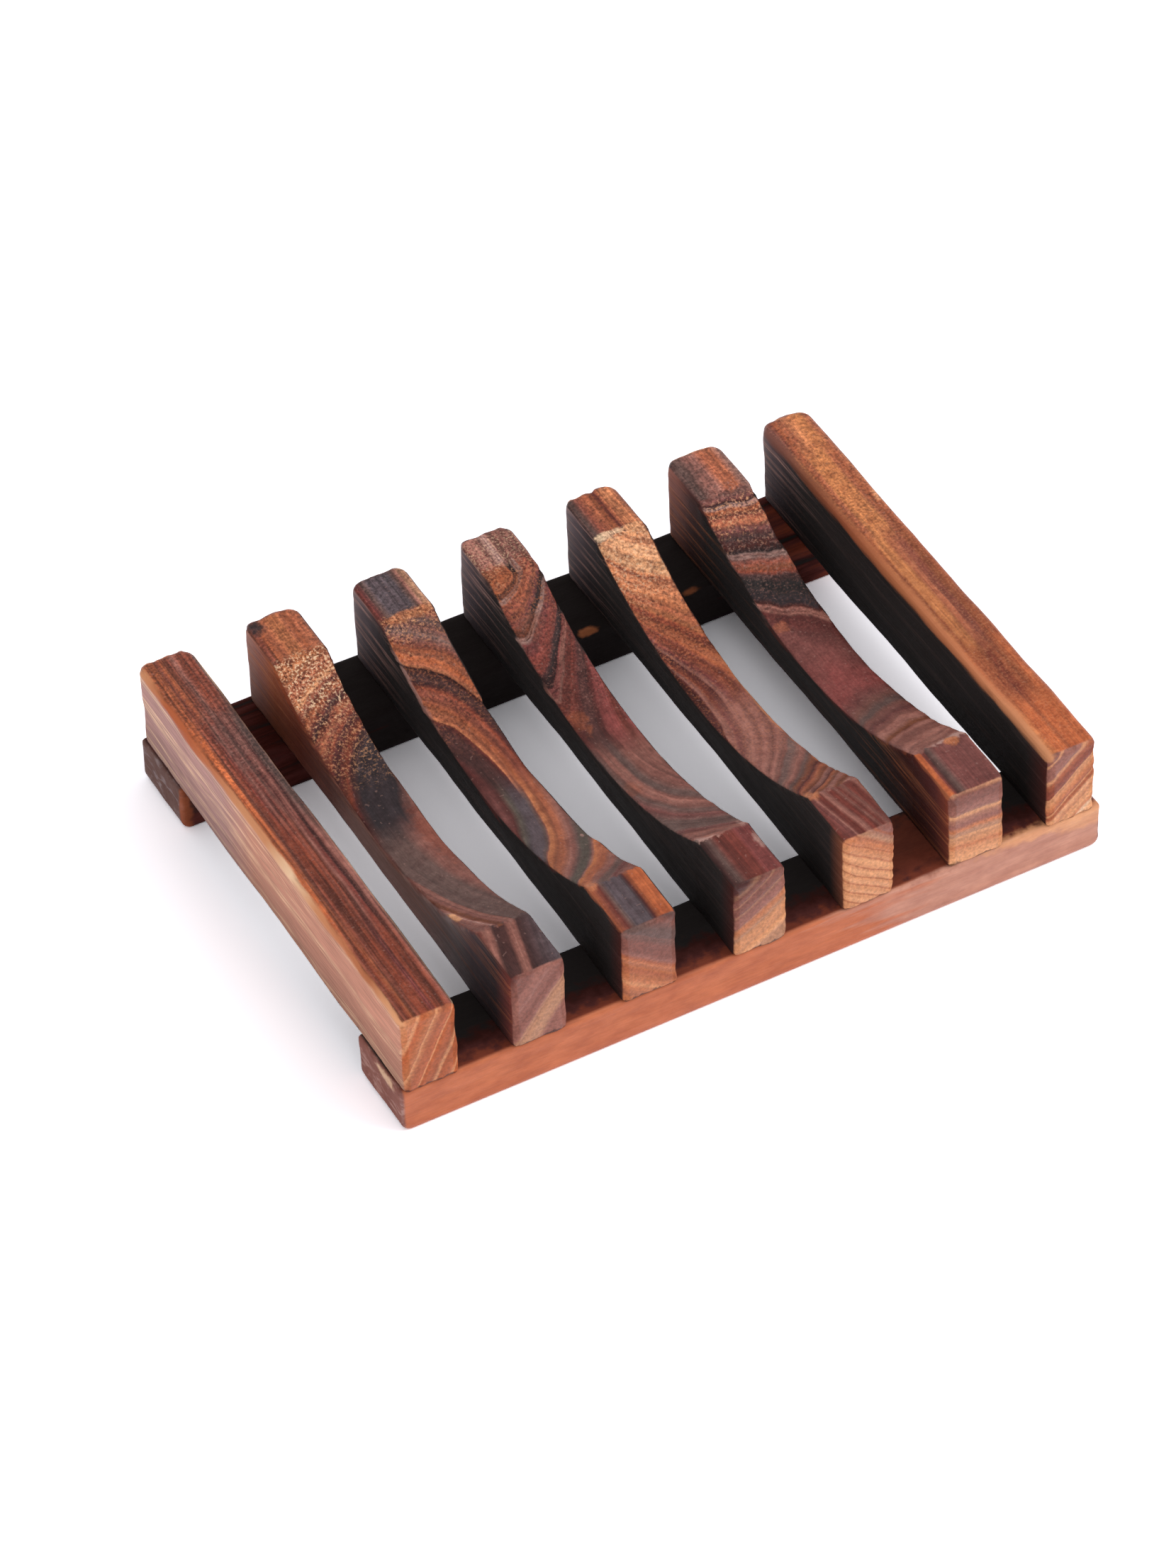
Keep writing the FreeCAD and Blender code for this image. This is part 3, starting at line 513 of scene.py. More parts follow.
def stray(tree, at):
    """How far the growth layers bend and wander from flat, in millimetres."""
    slow = add(tree, VECTOR, {0: at.place, 1: (0.11, 0.028, 0.11)}, operation="MULTIPLY")
    wander = add(tree, NOISE, {"Vector": slow, "Scale": 1.0, "Detail": 1.0}, normalize=False)
    quick = add(tree, VECTOR, {0: at.place, 1: (0.4, 0.12, 0.4)}, operation="MULTIPLY")
    ripple = add(tree, NOISE, {"Vector": quick, "Scale": 1.0, "Detail": 2.0}, normalize=False)
    wander = add(tree, MATH, {0: wander, 1: 0.4}, operation="MULTIPLY")
    return add(tree, MATH, {0: ripple, 1: 0.14, 2: wander}, operation="MULTIPLY_ADD")


def layer_height(tree, at, tilt, bend):
    """The height of the growth layer at each point."""
    slope, twist, bow = tilt
    square = add(tree, MATH, {0: at.x, 1: at.x}, operation="MULTIPLY")
    along = add(tree, MATH, {0: at.y}, operation="ABSOLUTE")
    along = add(tree, MATH, {0: along, 1: TWIST_CENTRE}, operation="SUBTRACT")
    cross = add(tree, MATH, {0: at.x, 1: along}, operation="MULTIPLY")
    height = add(tree, MATH, {0: at.z, 1: bend}, operation="ADD")
    for part, share in ((at.x, -slope), (cross, -twist), (square, bow)):
        height = add(tree, MATH, {0: part, 1: share, 2: height}, operation="MULTIPLY_ADD")
    return height


def tone_ramp(tree, share, stops, value=tone_colour):
    """The tones met from one end of a range to the other."""
    low, high = stops[0][0], stops[-1][0]
    share = add(tree, RANGE, {0: share, 1: low, 2: high})
    ramp = add(tree, "ShaderNodeValToRGB", {0: share}).node
    elements = ramp.color_ramp.elements
    while len(elements) < len(stops):
        elements.new(1.0)
    for element, (place, tone) in zip(elements, stops):
        element.position = (place - low) / (high - low)
        element.color = (*value(tone), 1.0)
    return ramp.outputs[0]


def top_layers(tree, at, wood, value=tone_colour):
    """The tone and the fine growth lines of a slat's top, zone by zone from the rear."""
    bend = stray(tree, at)
    rough = add(tree, NOISE, {"Vector": at.place, "Scale": 0.9, "Detail": 2.0}, normalize=False)
    border_y = add(tree, MATH, {0: rough, 1: 0.8, 2: at.y}, operation="MULTIPLY_ADD")
    tone = lines = None
    for begin, blend, tilt, stops in wood["zones"]:
        gap = wood["lines"][0]
        if isinstance(tilt, tuple):
            place = layer_height(tree, at, tilt, bend)
            gap *= math.hypot(1.0, tilt[0])
        else:
            drift = add(tree, MATH, {0: at.y, 1: begin}, operation="SUBTRACT")
            place = add(tree, MATH, {0: bend, 1: 0.7, 2: at.x}, operation="MULTIPLY_ADD")
            place = add(tree, MATH, {0: drift, 1: tilt, 2: place}, operation="MULTIPLY_ADD")
        zone_tone = tone_ramp(tree, place, stops, value)
        across = add(tree, MATH, {0: place, 1: 1 / gap}, operation="MULTIPLY")
        along = add(tree, MATH, {0: at.y, 1: 0.035}, operation="MULTIPLY")
        # Each gap reads a part of the noise of its own.
        vector = add(tree, "ShaderNodeCombineXYZ", {0: across, 1: along, 2: gap * 37})
        zone_lines = add(tree, NOISE, {"Vector": vector, "Scale": 1.0, "Detail": 2.0, "Roughness": 0.6})
        if tone is None:
            tone, lines = zone_tone, zone_lines
            continue
        rear, front = begin + blend / 2, begin - blend / 2
        share = add(tree, RANGE, {0: border_y, 1: front, 2: rear, 3: 1.0, 4: 0.0}, **SOFTLY)
        tone = add(tree, MIX, {0: share, 6: tone, 7: zone_tone}, **COLOURS)
        lines = add(tree, MIX, {0: share, 2: lines, 3: zone_lines}, data_type="FLOAT")
    return tone, lines


def end_layers(tree, at, wood):
    """The height of the layers on the end grain, and a wave that is nought on its ring lines."""
    slope = wood["end"][0]
    height = layer_height(tree, at, (slope, 0.0, 0.0), stray(tree, at))
    gap = wood["rings"][0] * math.hypot(1.0, slope)
    count = add(tree, MATH, {0: height, 1: 1 / gap}, operation="MULTIPLY")
    uneven = add(tree, NOISE, {"W": count, "Scale": 0.6, "Detail": 1.0},
                 normalize=False, noise_dimensions="1D")
    count = add(tree, MATH, {0: uneven, 1: 0.8, 2: count}, operation="MULTIPLY_ADD")
    return height, add(tree, MATH, {0: count, 1: 1.0}, operation="PINGPONG")


def scoop_radius(low, high, sizes):
    half_chord = (high.y - low.y) / 2 - sizes.scoop_land
    depth = high.z - low.z - sizes.scoop_web
    return (half_chord ** 2 + depth ** 2) / (2 * depth)


def slat_origin(low, high, sizes):
    return Vector(((low.x + high.x) / 2, (low.y + high.y) / 2, low.z + sizes.scoop_web))


def depth_under_top(tree, at, node, sizes):
    """How far below the top of a slat a point lies, in millimetres."""
    low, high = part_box(node)
    top = (high.z - low.z - sizes.scoop_web) / MM
    if node in SCOOPED_SLATS:
        radius = scoop_radius(low, high, sizes) / MM
        square = add(tree, MATH, {0: at.y, 1: at.y}, operation="MULTIPLY")
        rest = add(tree, MATH, {0: radius * radius, 1: square}, operation="SUBTRACT")
        root = add(tree, MATH, {0: rest}, operation="SQRT")
        sunk = add(tree, MATH, {0: radius, 1: root}, operation="SUBTRACT")
        top = add(tree, MATH, {0: sunk, 1: top}, operation="MINIMUM")
    return add(tree, MATH, {0: top, 1: at.z}, operation="SUBTRACT")


def ragged_place(tree, at, place, half_sizes, fray):
    """How far from the middle of a place a point lies, as a share of its half sizes, with a fray."""
    offset = add(tree, VECTOR, {0: at.local, 1: place}, operation="SUBTRACT")
    offset = add(tree, VECTOR, {0: offset, 1: [1 / half for half in half_sizes]}, operation="MULTIPLY")
    reach = add(tree, VECTOR, {0: offset}, out="Value", operation="LENGTH")
    return add(tree, MATH, {0: reach, 1: fray}, operation="ADD")


def distance_to_end(tree, at, half_length):
    """How far a point lies from the nearer end of a piece, in millimetres."""
    along = add(tree, MATH, {0: at.y}, operation="ABSOLUTE")
    return add(tree, MATH, {0: half_length, 1: along}, operation="SUBTRACT")


def new_material(name):
    material = bpy.data.materials.new(name)
    material.use_nodes = True
    material.node_tree.nodes.clear()
    return material, material.node_tree


def slat_material(node, sizes):
    """Charred softwood, wire-brushed and lacquered: bands of bare gold and burnt plum along the growth
    layers, grainy where the brush cut across them, sooty flanks, pale ringed end grain and a satin film."""
    wood = SLATS[node]
    low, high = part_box(node)
    half_width, half_length = (high.x - low.x) / 2 / MM, (high.y - low.y) / 2 / MM
    material, tree = new_material(f"charred_softwood_{node}")
    position = add(tree, "ShaderNodeTexCoord", out="Object")
    at = grain_frame(tree, position, slat_origin(low, high, sizes), False)
    colour, lines = top_layers(tree, at, wood)

    # Fibres 0.25 mm wide and some 7 mm long, grit of 0.5 mm, and slow ragged fields for borders and edges.
    thin = add(tree, VECTOR, {0: at.place, 1: (3.6, 0.13, 3.6)}, operation="MULTIPLY")
    fibre = add(tree, NOISE, {"Vector": thin, "Scale": 1.0, "Detail": 3.0, "Roughness": 0.65})
    grit = add(tree, NOISE, {"Vector": at.place, "Scale": 2.0, "Detail": 2.0, "Roughness": 0.6})
    ragged = add(tree, NOISE, {"Vector": at.place, "Scale": 0.7, "Detail": 3.0}, normalize=False)
    long_way = add(tree, VECTOR, {0: at.place, 1: (1.0, 0.14, 1.0)}, operation="MULTIPLY")
    chipped = add(tree, NOISE, {"Vector": long_way, "Scale": 1.0, "Detail": 4.0}, normalize=False)

    # Single scorched or bare places with ragged borders, and one painted glint.
    fray = add(tree, MATH, {0: ragged, 1: 0.5}, operation="MULTIPLY")
    for across, along, wide, long, tone, strength in wood["marks"]:
        distance = ragged_place(tree, at, (across, along, 0.0), (wide, long, math.inf), fray)
        share = add(tree, RANGE, {0: distance, 1: 0.5, 2: 1.25, 3: strength, 4: 0.0}, **SOFTLY)
        colour = add(tree, MIX, {0: share, 6: colour, 7: tone}, **COLOURS)

    # Growth lines and fibres lighten and darken the layers, less so on the smoother front of a scoop.
    depth = wood["lines"][1]
    if node.startswith("scooped"):
        fade = add(tree, RANGE, {0: at.y, 1: -4.0, 2: 12.0, 3: 0.5, 4: 1.0})
        lines = add(tree, MIX, {0: fade, 2: 0.5, 3: lines}, data_type="FLOAT")
    for field, low_end, high_end, swing in ((lines, 0.38, 0.62, depth), (fibre, 0.3, 0.7, 0.16)):
        gain = add(tree, RANGE, {0: field, 1: low_end, 2: high_end, 3: 1 - swing, 4: 1 + 0.8 * swing})
        colour = add(tree, VECTOR, {0: colour, 1: gain}, operation="MULTIPLY")

    # Blotches of some 2 mm, warmer and cooler, where the lacquer soaked in unevenly.
    blotch = add(tree, NOISE, {"Vector": at.place, "Scale": 0.5, "Detail": 4.0, "Roughness": 0.65})
    gain = add(tree, VECTOR, {0: blotch, 1: (1.2, 1.6, 1.6), 2: (0.4, 0.2, 0.2)}, operation="MULTIPLY_ADD")
    colour = add(tree, VECTOR, {0: colour, 1: gain}, operation="MULTIPLY")

    # The rear half was brushed hardest, so its grain stands out most.
    swing = add(tree, RANGE, {0: at.y, 1: 2.0, 2: 18.0, 3: 0.4, 4: 2.3}, **SOFTLY)
    gain = add(tree, MATH, {0: grit, 1: 0.5}, operation="SUBTRACT")
    gain = add(tree, MATH, {0: gain, 1: swing, 2: 1.0}, operation="MULTIPLY_ADD")
    colour = add(tree, VECTOR, {0: colour, "Scale": gain}, operation="SCALE")

    # Where the brush cut across the layers it left bare grains between burnt pits; the pale grains are
    # partly bare wood and partly painted glints.
    fleck = add(tree, NOISE, {"Vector": at.place, "Scale": 2.5, "Detail": 3.0, "Roughness": 0.65})
    bare_grain_and_glint = add(tree, RANGE, {0: fleck, 1: 0.51, 2: 0.65})
    pit = add(tree, RANGE, {0: fleck, 1: 0.48, 2: 0.34, 4: 0.85})
    border = add(tree, MATH, {0: ragged, 1: 4.0, 2: at.y}, operation="MULTIPLY_ADD")
    grainy = 0.0
    for start, end, tone, strength in wood["grain"]:
        enter = add(tree, RANGE, {0: border, 1: start - 4.0, 2: start + 3.0, 4: strength}, **SOFTLY)
        leave = add(tree, RANGE, {0: at.y, 1: end - 0.8, 2: end + 0.8, 3: 1.0, 4: 0.0}, **SOFTLY)
        zone = add(tree, MATH, {0: enter, 1: leave}, operation="MULTIPLY")
        grainy = add(tree, MATH, {0: grainy, 1: zone}, operation="MAXIMUM")
        share = add(tree, MATH, {0: zone, 1: pit}, operation="MULTIPLY")
        colour = add(tree, MIX, {0: share, 6: colour, 7: "pitch"}, **COLOURS)
        share = add(tree, MATH, {0: zone, 1: bare_grain_and_glint}, operation="MULTIPLY")
        colour = add(tree, MIX, {0: share, 6: colour, 7: tone}, **COLOURS)
    # Pale ash-toned specks all over the top: painted glints of the lacquer.
    painted_glints = add(tree, NOISE, {"Vector": at.place, "Scale": 1.9, "Detail": 0.0})
    painted_glints = add(tree, RANGE, {0: painted_glints, 1: 0.76, 2: 0.8, 4: 0.22})
    colour = add(tree, MIX, {0: painted_glints, 6: colour, 7: "ash"}, **COLOURS)

    # Flanks and underside: soot, darker low down with painted shade towards the floor, and pale brushed
    # lines,
    # 1 mm and more apart, where the fire was weak; near the rear end the lines also paint the light that
    # reaches there.
    to_left = add(tree, MATH, {0: at.x, 1: half_width}, operation="ADD")
    to_right = add(tree, MATH, {0: half_width, 1: at.x}, operation="SUBTRACT")
    to_floor = add(tree, MATH, {0: at.z, 1: sizes.scoop_web / MM}, operation="ADD")
    below = depth_under_top(tree, at, node, sizes)
    inset = add(tree, MATH, {0: below, 1: 1.6}, operation="MINIMUM")
    in_left = add(tree, MATH, {0: inset, 1: -0.5, 2: to_left}, operation="MULTIPLY_ADD")
    in_right = add(tree, MATH, {0: inset, 1: -0.5, 2: to_right}, operation="MULTIPLY_ADD")
    height, wave = end_layers(tree, at, wood)
    pale = add(tree, RANGE, {0: wave, 1: 0.05, 2: 0.35, 3: 1.0, 4: 0.0}, **SOFTLY)
    combed = add(tree, VECTOR, {0: at.place, 1: (0.2, 0.02, 1.1)}, operation="MULTIPLY")
    combed = add(tree, NOISE, {"Vector": combed, "Scale": 1.0, "Detail": 2.0})
    combed = add(tree, RANGE, {0: combed, 1: 0.52, 2: 0.64, 4: 0.9})
    pale = add(tree, MATH, {0: pale, 1: combed}, operation="MAXIMUM")
    broken = add(tree, RANGE, {0: fibre, 1: 0.35, 2: 0.6})
    pale = add(tree, MATH, {0: pale, 1: broken}, operation="MULTIPLY")
    along_flank, line_tone, at_front = wood["brushed"]
    weak_fire_and_lit_rear = add(tree, RANGE, {0: at.y, 1: 22.0, 2: 38.0, 3: along_flank, 4: 0.75}, **SOFTLY)
    front = add(tree, RANGE, {0: at.y, 1: -12.0, 2: -26.0, 4: at_front}, **SOFTLY)
    weak_fire_and_lit_rear = add(tree, MATH, {0: weak_fire_and_lit_rear, 1: front}, operation="MAXIMUM")
    brushed = add(tree, MATH, {0: pale, 1: weak_fire_and_lit_rear}, operation="MULTIPLY")
    # Painted shade: the flanks and underside darken towards the floor.
    painted_shade_low_down = add(tree, RANGE, {0: to_floor, 1: 0.0, 2: 9.0, 3: 0.55, 4: 1.0})
    streaks = add(tree, RANGE, {0: fibre, 1: 0.3, 2: 0.7, 3: 0.75, 4: 1.25})
    painted_shade_low_down = add(tree, MATH, {0: painted_shade_low_down, 1: streaks}, operation="MULTIPLY")
    flank = 0.0
    faces = ((to_floor, 0.5, wood["right"]), (in_left, 0.3, wood["left"]), (in_right, 0.3, wood["right"]))
    for distance, reach, tones in faces:
        share = add(tree, RANGE, {0: distance, 1: 0.04, 2: reach, 3: 1.0, 4: 0.0}, **SOFTLY)
        soot = add(tree, MIX, {0: brushed, 6: tone_ramp(tree, at.y, tones), 7: line_tone}, **COLOURS)
        soot = add(tree, VECTOR, {0: soot, "Scale": painted_shade_low_down}, operation="SCALE")
        colour = add(tree, MIX, {0: share, 6: colour, 7: soot}, **COLOURS)
        flank = add(tree, MATH, {0: share, 1: flank}, operation="MAXIMUM")

    # End grain: bare wood in bands, with a line for every ring.
    to_end = distance_to_end(tree, at, half_length)
    on_end = add(tree, RANGE, {0: to_end, 1: 0.2, 2: 0.55, 3: 1.0, 4: 0.0}, **SOFTLY)
    ring_tone, ring_strength = wood["rings"][1:]
    line = add(tree, RANGE, {0: wave, 1: 0.1, 2: 0.45, 3: ring_strength, 4: 0.0}, **SOFTLY)
    end = add(tree, MIX, {0: line, 6: tone_ramp(tree, height, wood["end"][1]), 7: ring_tone}, **COLOURS)
    gain = add(tree, RANGE, {0: grit, 1: 0.35, 2: 0.65, 3: 0.8, 4: 1.18})
    end = add(tree, VECTOR, {0: end, 1: gain}, operation="MULTIPLY")
    colour = add(tree, MIX, {0: on_end, 6: colour, 7: end}, **COLOURS)

    # A broken pitch-dark line along the lower edges: painted shadow where the slats sit on the rails and
    # under their lower edges.
    painted_contact_shadow = add(tree, MATH, {0: ragged, 1: 0.5, 2: to_floor}, operation="MULTIPLY_ADD")
    painted_contact_shadow = add(tree, RANGE, {0: painted_contact_shadow, 1: 0.2, 2: 0.5, 3: 0.75, 4: 0.0}, **SOFTLY)
    colour = add(tree, MIX, {0: painted_contact_shadow, 6: colour, 7: "pitch"}, **COLOURS)

    # The worn edge, bared by the brush, and chipped along the grain; on the outer slats its pale line is
    # also a painted highlight.
    edge, tones, strength, reach = wood["worn"]
    corner = add(tree, "ShaderNodeCombineXYZ", {0: {"left": to_left, "right": to_right}[edge], 1: below})
    corner = add(tree, VECTOR, {0: corner}, out="Value", operation="LENGTH")
    corner = add(tree, MATH, {0: chipped, 1: 0.45, 2: corner}, operation="MULTIPLY_ADD")
    share = add(tree, RANGE, {0: corner, 1: 0.5 * reach, 2: 2.0 * reach, 3: strength, 4: 0.0}, **SOFTLY)
    colour = add(tree, MIX, {0: share, 6: colour, 7: tone_ramp(tree, at.y, tones)}, **COLOURS)

    # The lacquer shines on the top, less on rough grain and least on the sooty flanks.
    gloss = add(tree, RANGE, {0: flank, 3: 0.38, 4: 0.8})
    gloss = add(tree, MATH, {0: grainy, 1: 0.15, 2: gloss}, operation="MULTIPLY_ADD")
    bumps = add(tree, MATH, {0: fleck, 1: grainy, 2: fibre}, operation="MULTIPLY_ADD")
    bump = add(tree, "ShaderNodeBump", {"Strength": 0.7, "Distance": 0.12 * MM, "Height": bumps})
    shader = add(tree, "ShaderNodeBsdfPrincipled",
                 {"Base Color": colour, "Roughness": gloss, "Normal": bump, "IOR": 1.5,
                  "Specular IOR Level": 0.22})
    add(tree, "ShaderNodeOutputMaterial", {0: shader})
    return material


def rail_material(node):
    """The same wood with the grain along the rail: on the front rail a clay-red face where the brush took
    the char off, on the rear rail dull soot with a few bare places."""
    wood = RAIL_WOOD[node]
    low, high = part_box(node)
    half_width, half_length = (high.y - low.y) / 2 / MM, (high.x - low.x) / 2 / MM
    material, tree = new_material(f"charred_softwood_{node}")
    position = add(tree, "ShaderNodeTexCoord", out="Object")
    at = grain_frame(tree, position, Vector((0.0, (low.y + high.y) / 2, 0.0)), True)
    thin = add(tree, VECTOR, {0: at.place, 1: (3.2, 0.12, 3.2)}, operation="MULTIPLY")
    fibre = add(tree, NOISE, {"Vector": thin, "Scale": 1.0, "Detail": 3.0, "Roughness": 0.65})
    ragged = add(tree, NOISE, {"Vector": at.place, "Scale": 0.6, "Detail": 3.0}, normalize=False)
    to_front = add(tree, MATH, {0: at.x, 1: half_width}, operation="ADD")
    inwards = add(tree, MATH, {0: ragged, 1: 1.5, 2: to_front}, operation="MULTIPLY_ADD")
    on_face = add(tree, RANGE, {0: to_front, 1: 0.2, 2: 0.8, 3: 1.0, 4: 0.0}, **SOFTLY)

    # The tones of the face meet in long ragged tongues, some 2 mm high.
    streaky = add(tree, VECTOR, {0: at.place, 1: (0.5, 0.05, 0.5)}, operation="MULTIPLY")
    licked = add(tree, NOISE, {"Vector": streaky, "Scale": 1.0, "Detail": 4.0}, normalize=False)
    border = add(tree, MATH, {0: licked, 1: 16.0, 2: at.y}, operation="MULTIPLY_ADD")
    colour = tone_ramp(tree, border, wood["face"])
    # Behind the face the top darkens inwards from the front edge: char, and painted shade under the slats.
    if wood["inwards"]:
        top_tone_and_shade = tone_ramp(tree, inwards, wood["inwards"])
        colour = add(tree, MIX, {0: on_face, 6: top_tone_and_shade, 7: colour}, **COLOURS)

    # Ends: the fire ate deepest there, and the brush left pale streaks some 1 mm high and 3 mm wide.
    to_end = distance_to_end(tree, at, half_length)
    on_end = add(tree, RANGE, {0: to_end, 1: 0.2, 2: 0.7, 3: 1.0, 4: 0.0}, **SOFTLY)
    curl = add(tree, VECTOR, {0: at.place, 1: (0.35, 1.0, 0.9)}, operation="MULTIPLY")
    rings = add(tree, NOISE, {"Vector": curl, "Scale": 1.0, "Detail": 3.0, "Distortion": 0.6})
    streak = add(tree, RANGE, {0: rings, 1: 0.52, 2: 0.66, 4: 0.7})
    end = add(tree, MIX, {0: streak, 6: wood["end"], 7: wood["streak"]}, **COLOURS)
    colour = add(tree, MIX, {0: on_end, 6: colour, 7: end}, **COLOURS)

    # Single scorched or bare places with ragged borders.
    fray = add(tree, MATH, {0: ragged, 1: 0.35}, operation="MULTIPLY")
    for place, half_sizes, tone, strength in wood["marks"]:
        distance = ragged_place(tree, at, place, half_sizes, fray)
        share = add(tree, RANGE, {0: distance, 1: 0.55, 2: 1.25, 3: strength, 4: 0.0}, **SOFTLY)
        colour = add(tree, MIX, {0: share, 6: colour, 7: tone}, **COLOURS)

    # Fibres 0.3 mm wide, and blotches of some 2 by 5 mm where the lacquer soaked in unevenly.
    gain = add(tree, RANGE, {0: fibre, 1: 0.3, 2: 0.7, 3: 0.93, 4: 1.07})
    colour = add(tree, VECTOR, {0: colour, 1: gain}, operation="MULTIPLY")
    soaked = add(tree, VECTOR, {0: at.place, 1: (0.5, 0.2, 0.5)}, operation="MULTIPLY")
    blotch = add(tree, NOISE, {"Vector": soaked, "Scale": 1.0, "Detail": 4.0, "Roughness": 0.65})
    gain = add(tree, VECTOR, {0: blotch, 1: (0.8, 1.1, 1.1), 2: (0.6, 0.45, 0.45)},
               operation="MULTIPLY_ADD")
    colour = add(tree, VECTOR, {0: colour, 1: gain}, operation="MULTIPLY")
    gloss = add(tree, RANGE, {0: on_face, 3: 0.8, 4: wood["gloss"]})
    bump = add(tree, "ShaderNodeBump", {"Strength": 0.6, "Distance": 0.1 * MM, "Height": fibre})
    shader = add(tree, "ShaderNodeBsdfPrincipled",
                 {"Base Color": colour, "Roughness": gloss, "Normal": bump, "IOR": 1.5,
                  "Specular IOR Level": wood["sheen"]})
    add(tree, "ShaderNodeOutputMaterial", {0: shader})
    return material


def relief_tree(node, origin, sizes):
    """Geometry nodes that lift the hard layers, sink the burnt ones and let every face wander."""
    wood = SLATS.get(node)
    low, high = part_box(node)
    tree = bpy.data.node_groups.new(f"brushed_relief_{node}", "GeometryNodeTree")
    tree.interface.new_socket("Geometry", in_out="INPUT", socket_type="NodeSocketGeometry")
    tree.interface.new_socket("Geometry", in_out="OUTPUT", socket_type="NodeSocketGeometry")
    geometry = add(tree, "NodeGroupInput")
    position = add(tree, "GeometryNodeInputPosition")
    at = grain_frame(tree, position, origin, wood is None)
    slow = add(tree, VECTOR, {0: at.place, 1: (0.16, 0.06, 0.16)}, operation="MULTIPLY")
    wander = add(tree, NOISE, {"Vector": slow, "Scale": 1.0, "Detail": 2.0}, normalize=False)
    amount = add(tree, MATH, {0: wander, 1: sizes.waviness}, operation="MULTIPLY")
    if wood:
        tone, lines = top_layers(tree, at, wood, tone_height)
        wave = end_layers(tree, at, wood)[1]
        to_end = distance_to_end(tree, at, (high.y - low.y) / 2 / MM)
        on_end = add(tree, RANGE, {0: to_end, 1: 0.6, 2: 0.2})
        ridge = add(tree, MATH, {0: wave, 1: on_end}, operation="MULTIPLY")
        below = depth_under_top(tree, at, node, sizes)
        near_top = add(tree, RANGE, {0: below, 1: 0.5, 2: 1.6, 3: 1.0, 4: 0.25}, **SOFTLY)
        for field, size in ((tone, sizes.relief), (lines, 2 * wood["lines"][1] * sizes.line_relief)):
            swing = add(tree, MATH, {0: field, 1: 0.5}, operation="SUBTRACT")
            swing = add(tree, MATH, {0: swing, 1: near_top}, operation="MULTIPLY")
            amount = add(tree, MATH, {0: swing, 1: size, 2: amount}, operation="MULTIPLY_ADD")
        amount = add(tree, MATH, {0: ridge, 1: 0.2 * MM, 2: amount}, operation="MULTIPLY_ADD")
    else:
        # The feet of the rails stay flat on the floor.
        foot = (low.z - high.z) / 2 / MM
        held = add(tree, RANGE, {0: at.z, 1: foot + 0.2, 2: foot + 2.0}, **SOFTLY)
        amount = add(tree, MATH, {0: amount, 1: held}, operation="MULTIPLY")
    normal = add(tree, "GeometryNodeInputNormal")
    offset = add(tree, VECTOR, {0: normal, "Scale": amount}, operation="SCALE")
    moved = add(tree, "GeometryNodeSetPosition", {"Geometry": geometry, "Offset": offset})
    add(tree, "NodeGroupOutput", {0: moved})
    return tree


def block(name, low, high):
    """A cube at the size and place of a CAD node, made ready for the cuts."""
    bpy.ops.object.select_all(action="DESELECT")
    bpy.ops.mesh.primitive_cube_add(size=1.0, location=(low + high) / 2)
    piece = bpy.context.object
    piece.name = name
    piece.scale = high - low
    bpy.ops.object.transform_apply(location=True, rotation=True, scale=True)
    return piece


def select_only(piece):
    bpy.ops.object.select_all(action="DESELECT")
    piece.select_set(True)
    bpy.context.view_layer.objects.active = piece


def round_edges(piece, radius, pick):
    """Bevels the edges whose two ends the pick accepts."""
    select_only(piece)
    bpy.ops.object.mode_set(mode="EDIT")
    bpy.ops.mesh.select_mode(type="EDGE")
    bpy.ops.mesh.select_all(action="DESELECT")
    bpy.ops.object.mode_set(mode="OBJECT")
    points = piece.data.vertices
    for edge in piece.data.edges:
        edge.select = pick(*(points[index].co for index in edge.vertices))
    bpy.ops.object.mode_set(mode="EDIT")
    bpy.ops.mesh.bevel(offset=radius, segments=5, affect="EDGES")
    bpy.ops.object.mode_set(mode="OBJECT")


def apply(piece, kind, **settings):
    """Puts a modifier on the piece with its settings, and applies it."""
    select_only(piece)
    modifier = piece.modifiers.new(kind.title(), kind)
    for name, value in settings.items():
        setattr(modifier, name, value)
    bpy.ops.object.modifier_apply(modifier=modifier.name)


def cut_scoop(piece, low, high, sizes):
    """One round cut across the top of a slat."""
    radius = scoop_radius(low, high, sizes)
    centre = Vector(((low.x + high.x) / 2, (low.y + high.y) / 2, low.z + sizes.scoop_web + radius))
    bpy.ops.object.select_all(action="DESELECT")
    bpy.ops.mesh.primitive_cylinder_add(vertices=SCOOP_SIDES, radius=radius, depth=3 * (high.x - low.x),
                                        location=centre, rotation=(0, math.pi / 2, 0))
    cutter = bpy.context.object
    apply(piece, "BOOLEAN", object=cutter, operation="DIFFERENCE", solver="EXACT")
    bpy.data.objects.remove(cutter)


def brush_skin(piece, node, radius, origin, sizes):
    """Wears the sharp edges round, then gives the piece even faces and moves them by its relief."""
    apply(piece, "BEVEL", width=radius, segments=4, limit_method="ANGLE", angle_limit=SHARP_ANGLE)
    apply(piece, "REMESH", mode="VOXEL", voxel_size=sizes.mesh_step)
    apply(piece, "NODES", node_group=relief_tree(node, origin, sizes))


def finish_piece(piece, node, material):
    """Gives a piece its finish and lets it stand for its CAD node."""
    select_only(piece)
    bpy.ops.object.shade_smooth()
    piece.data.materials.clear()
    piece.data.materials.append(material)
    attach(piece, "root")
    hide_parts(node)


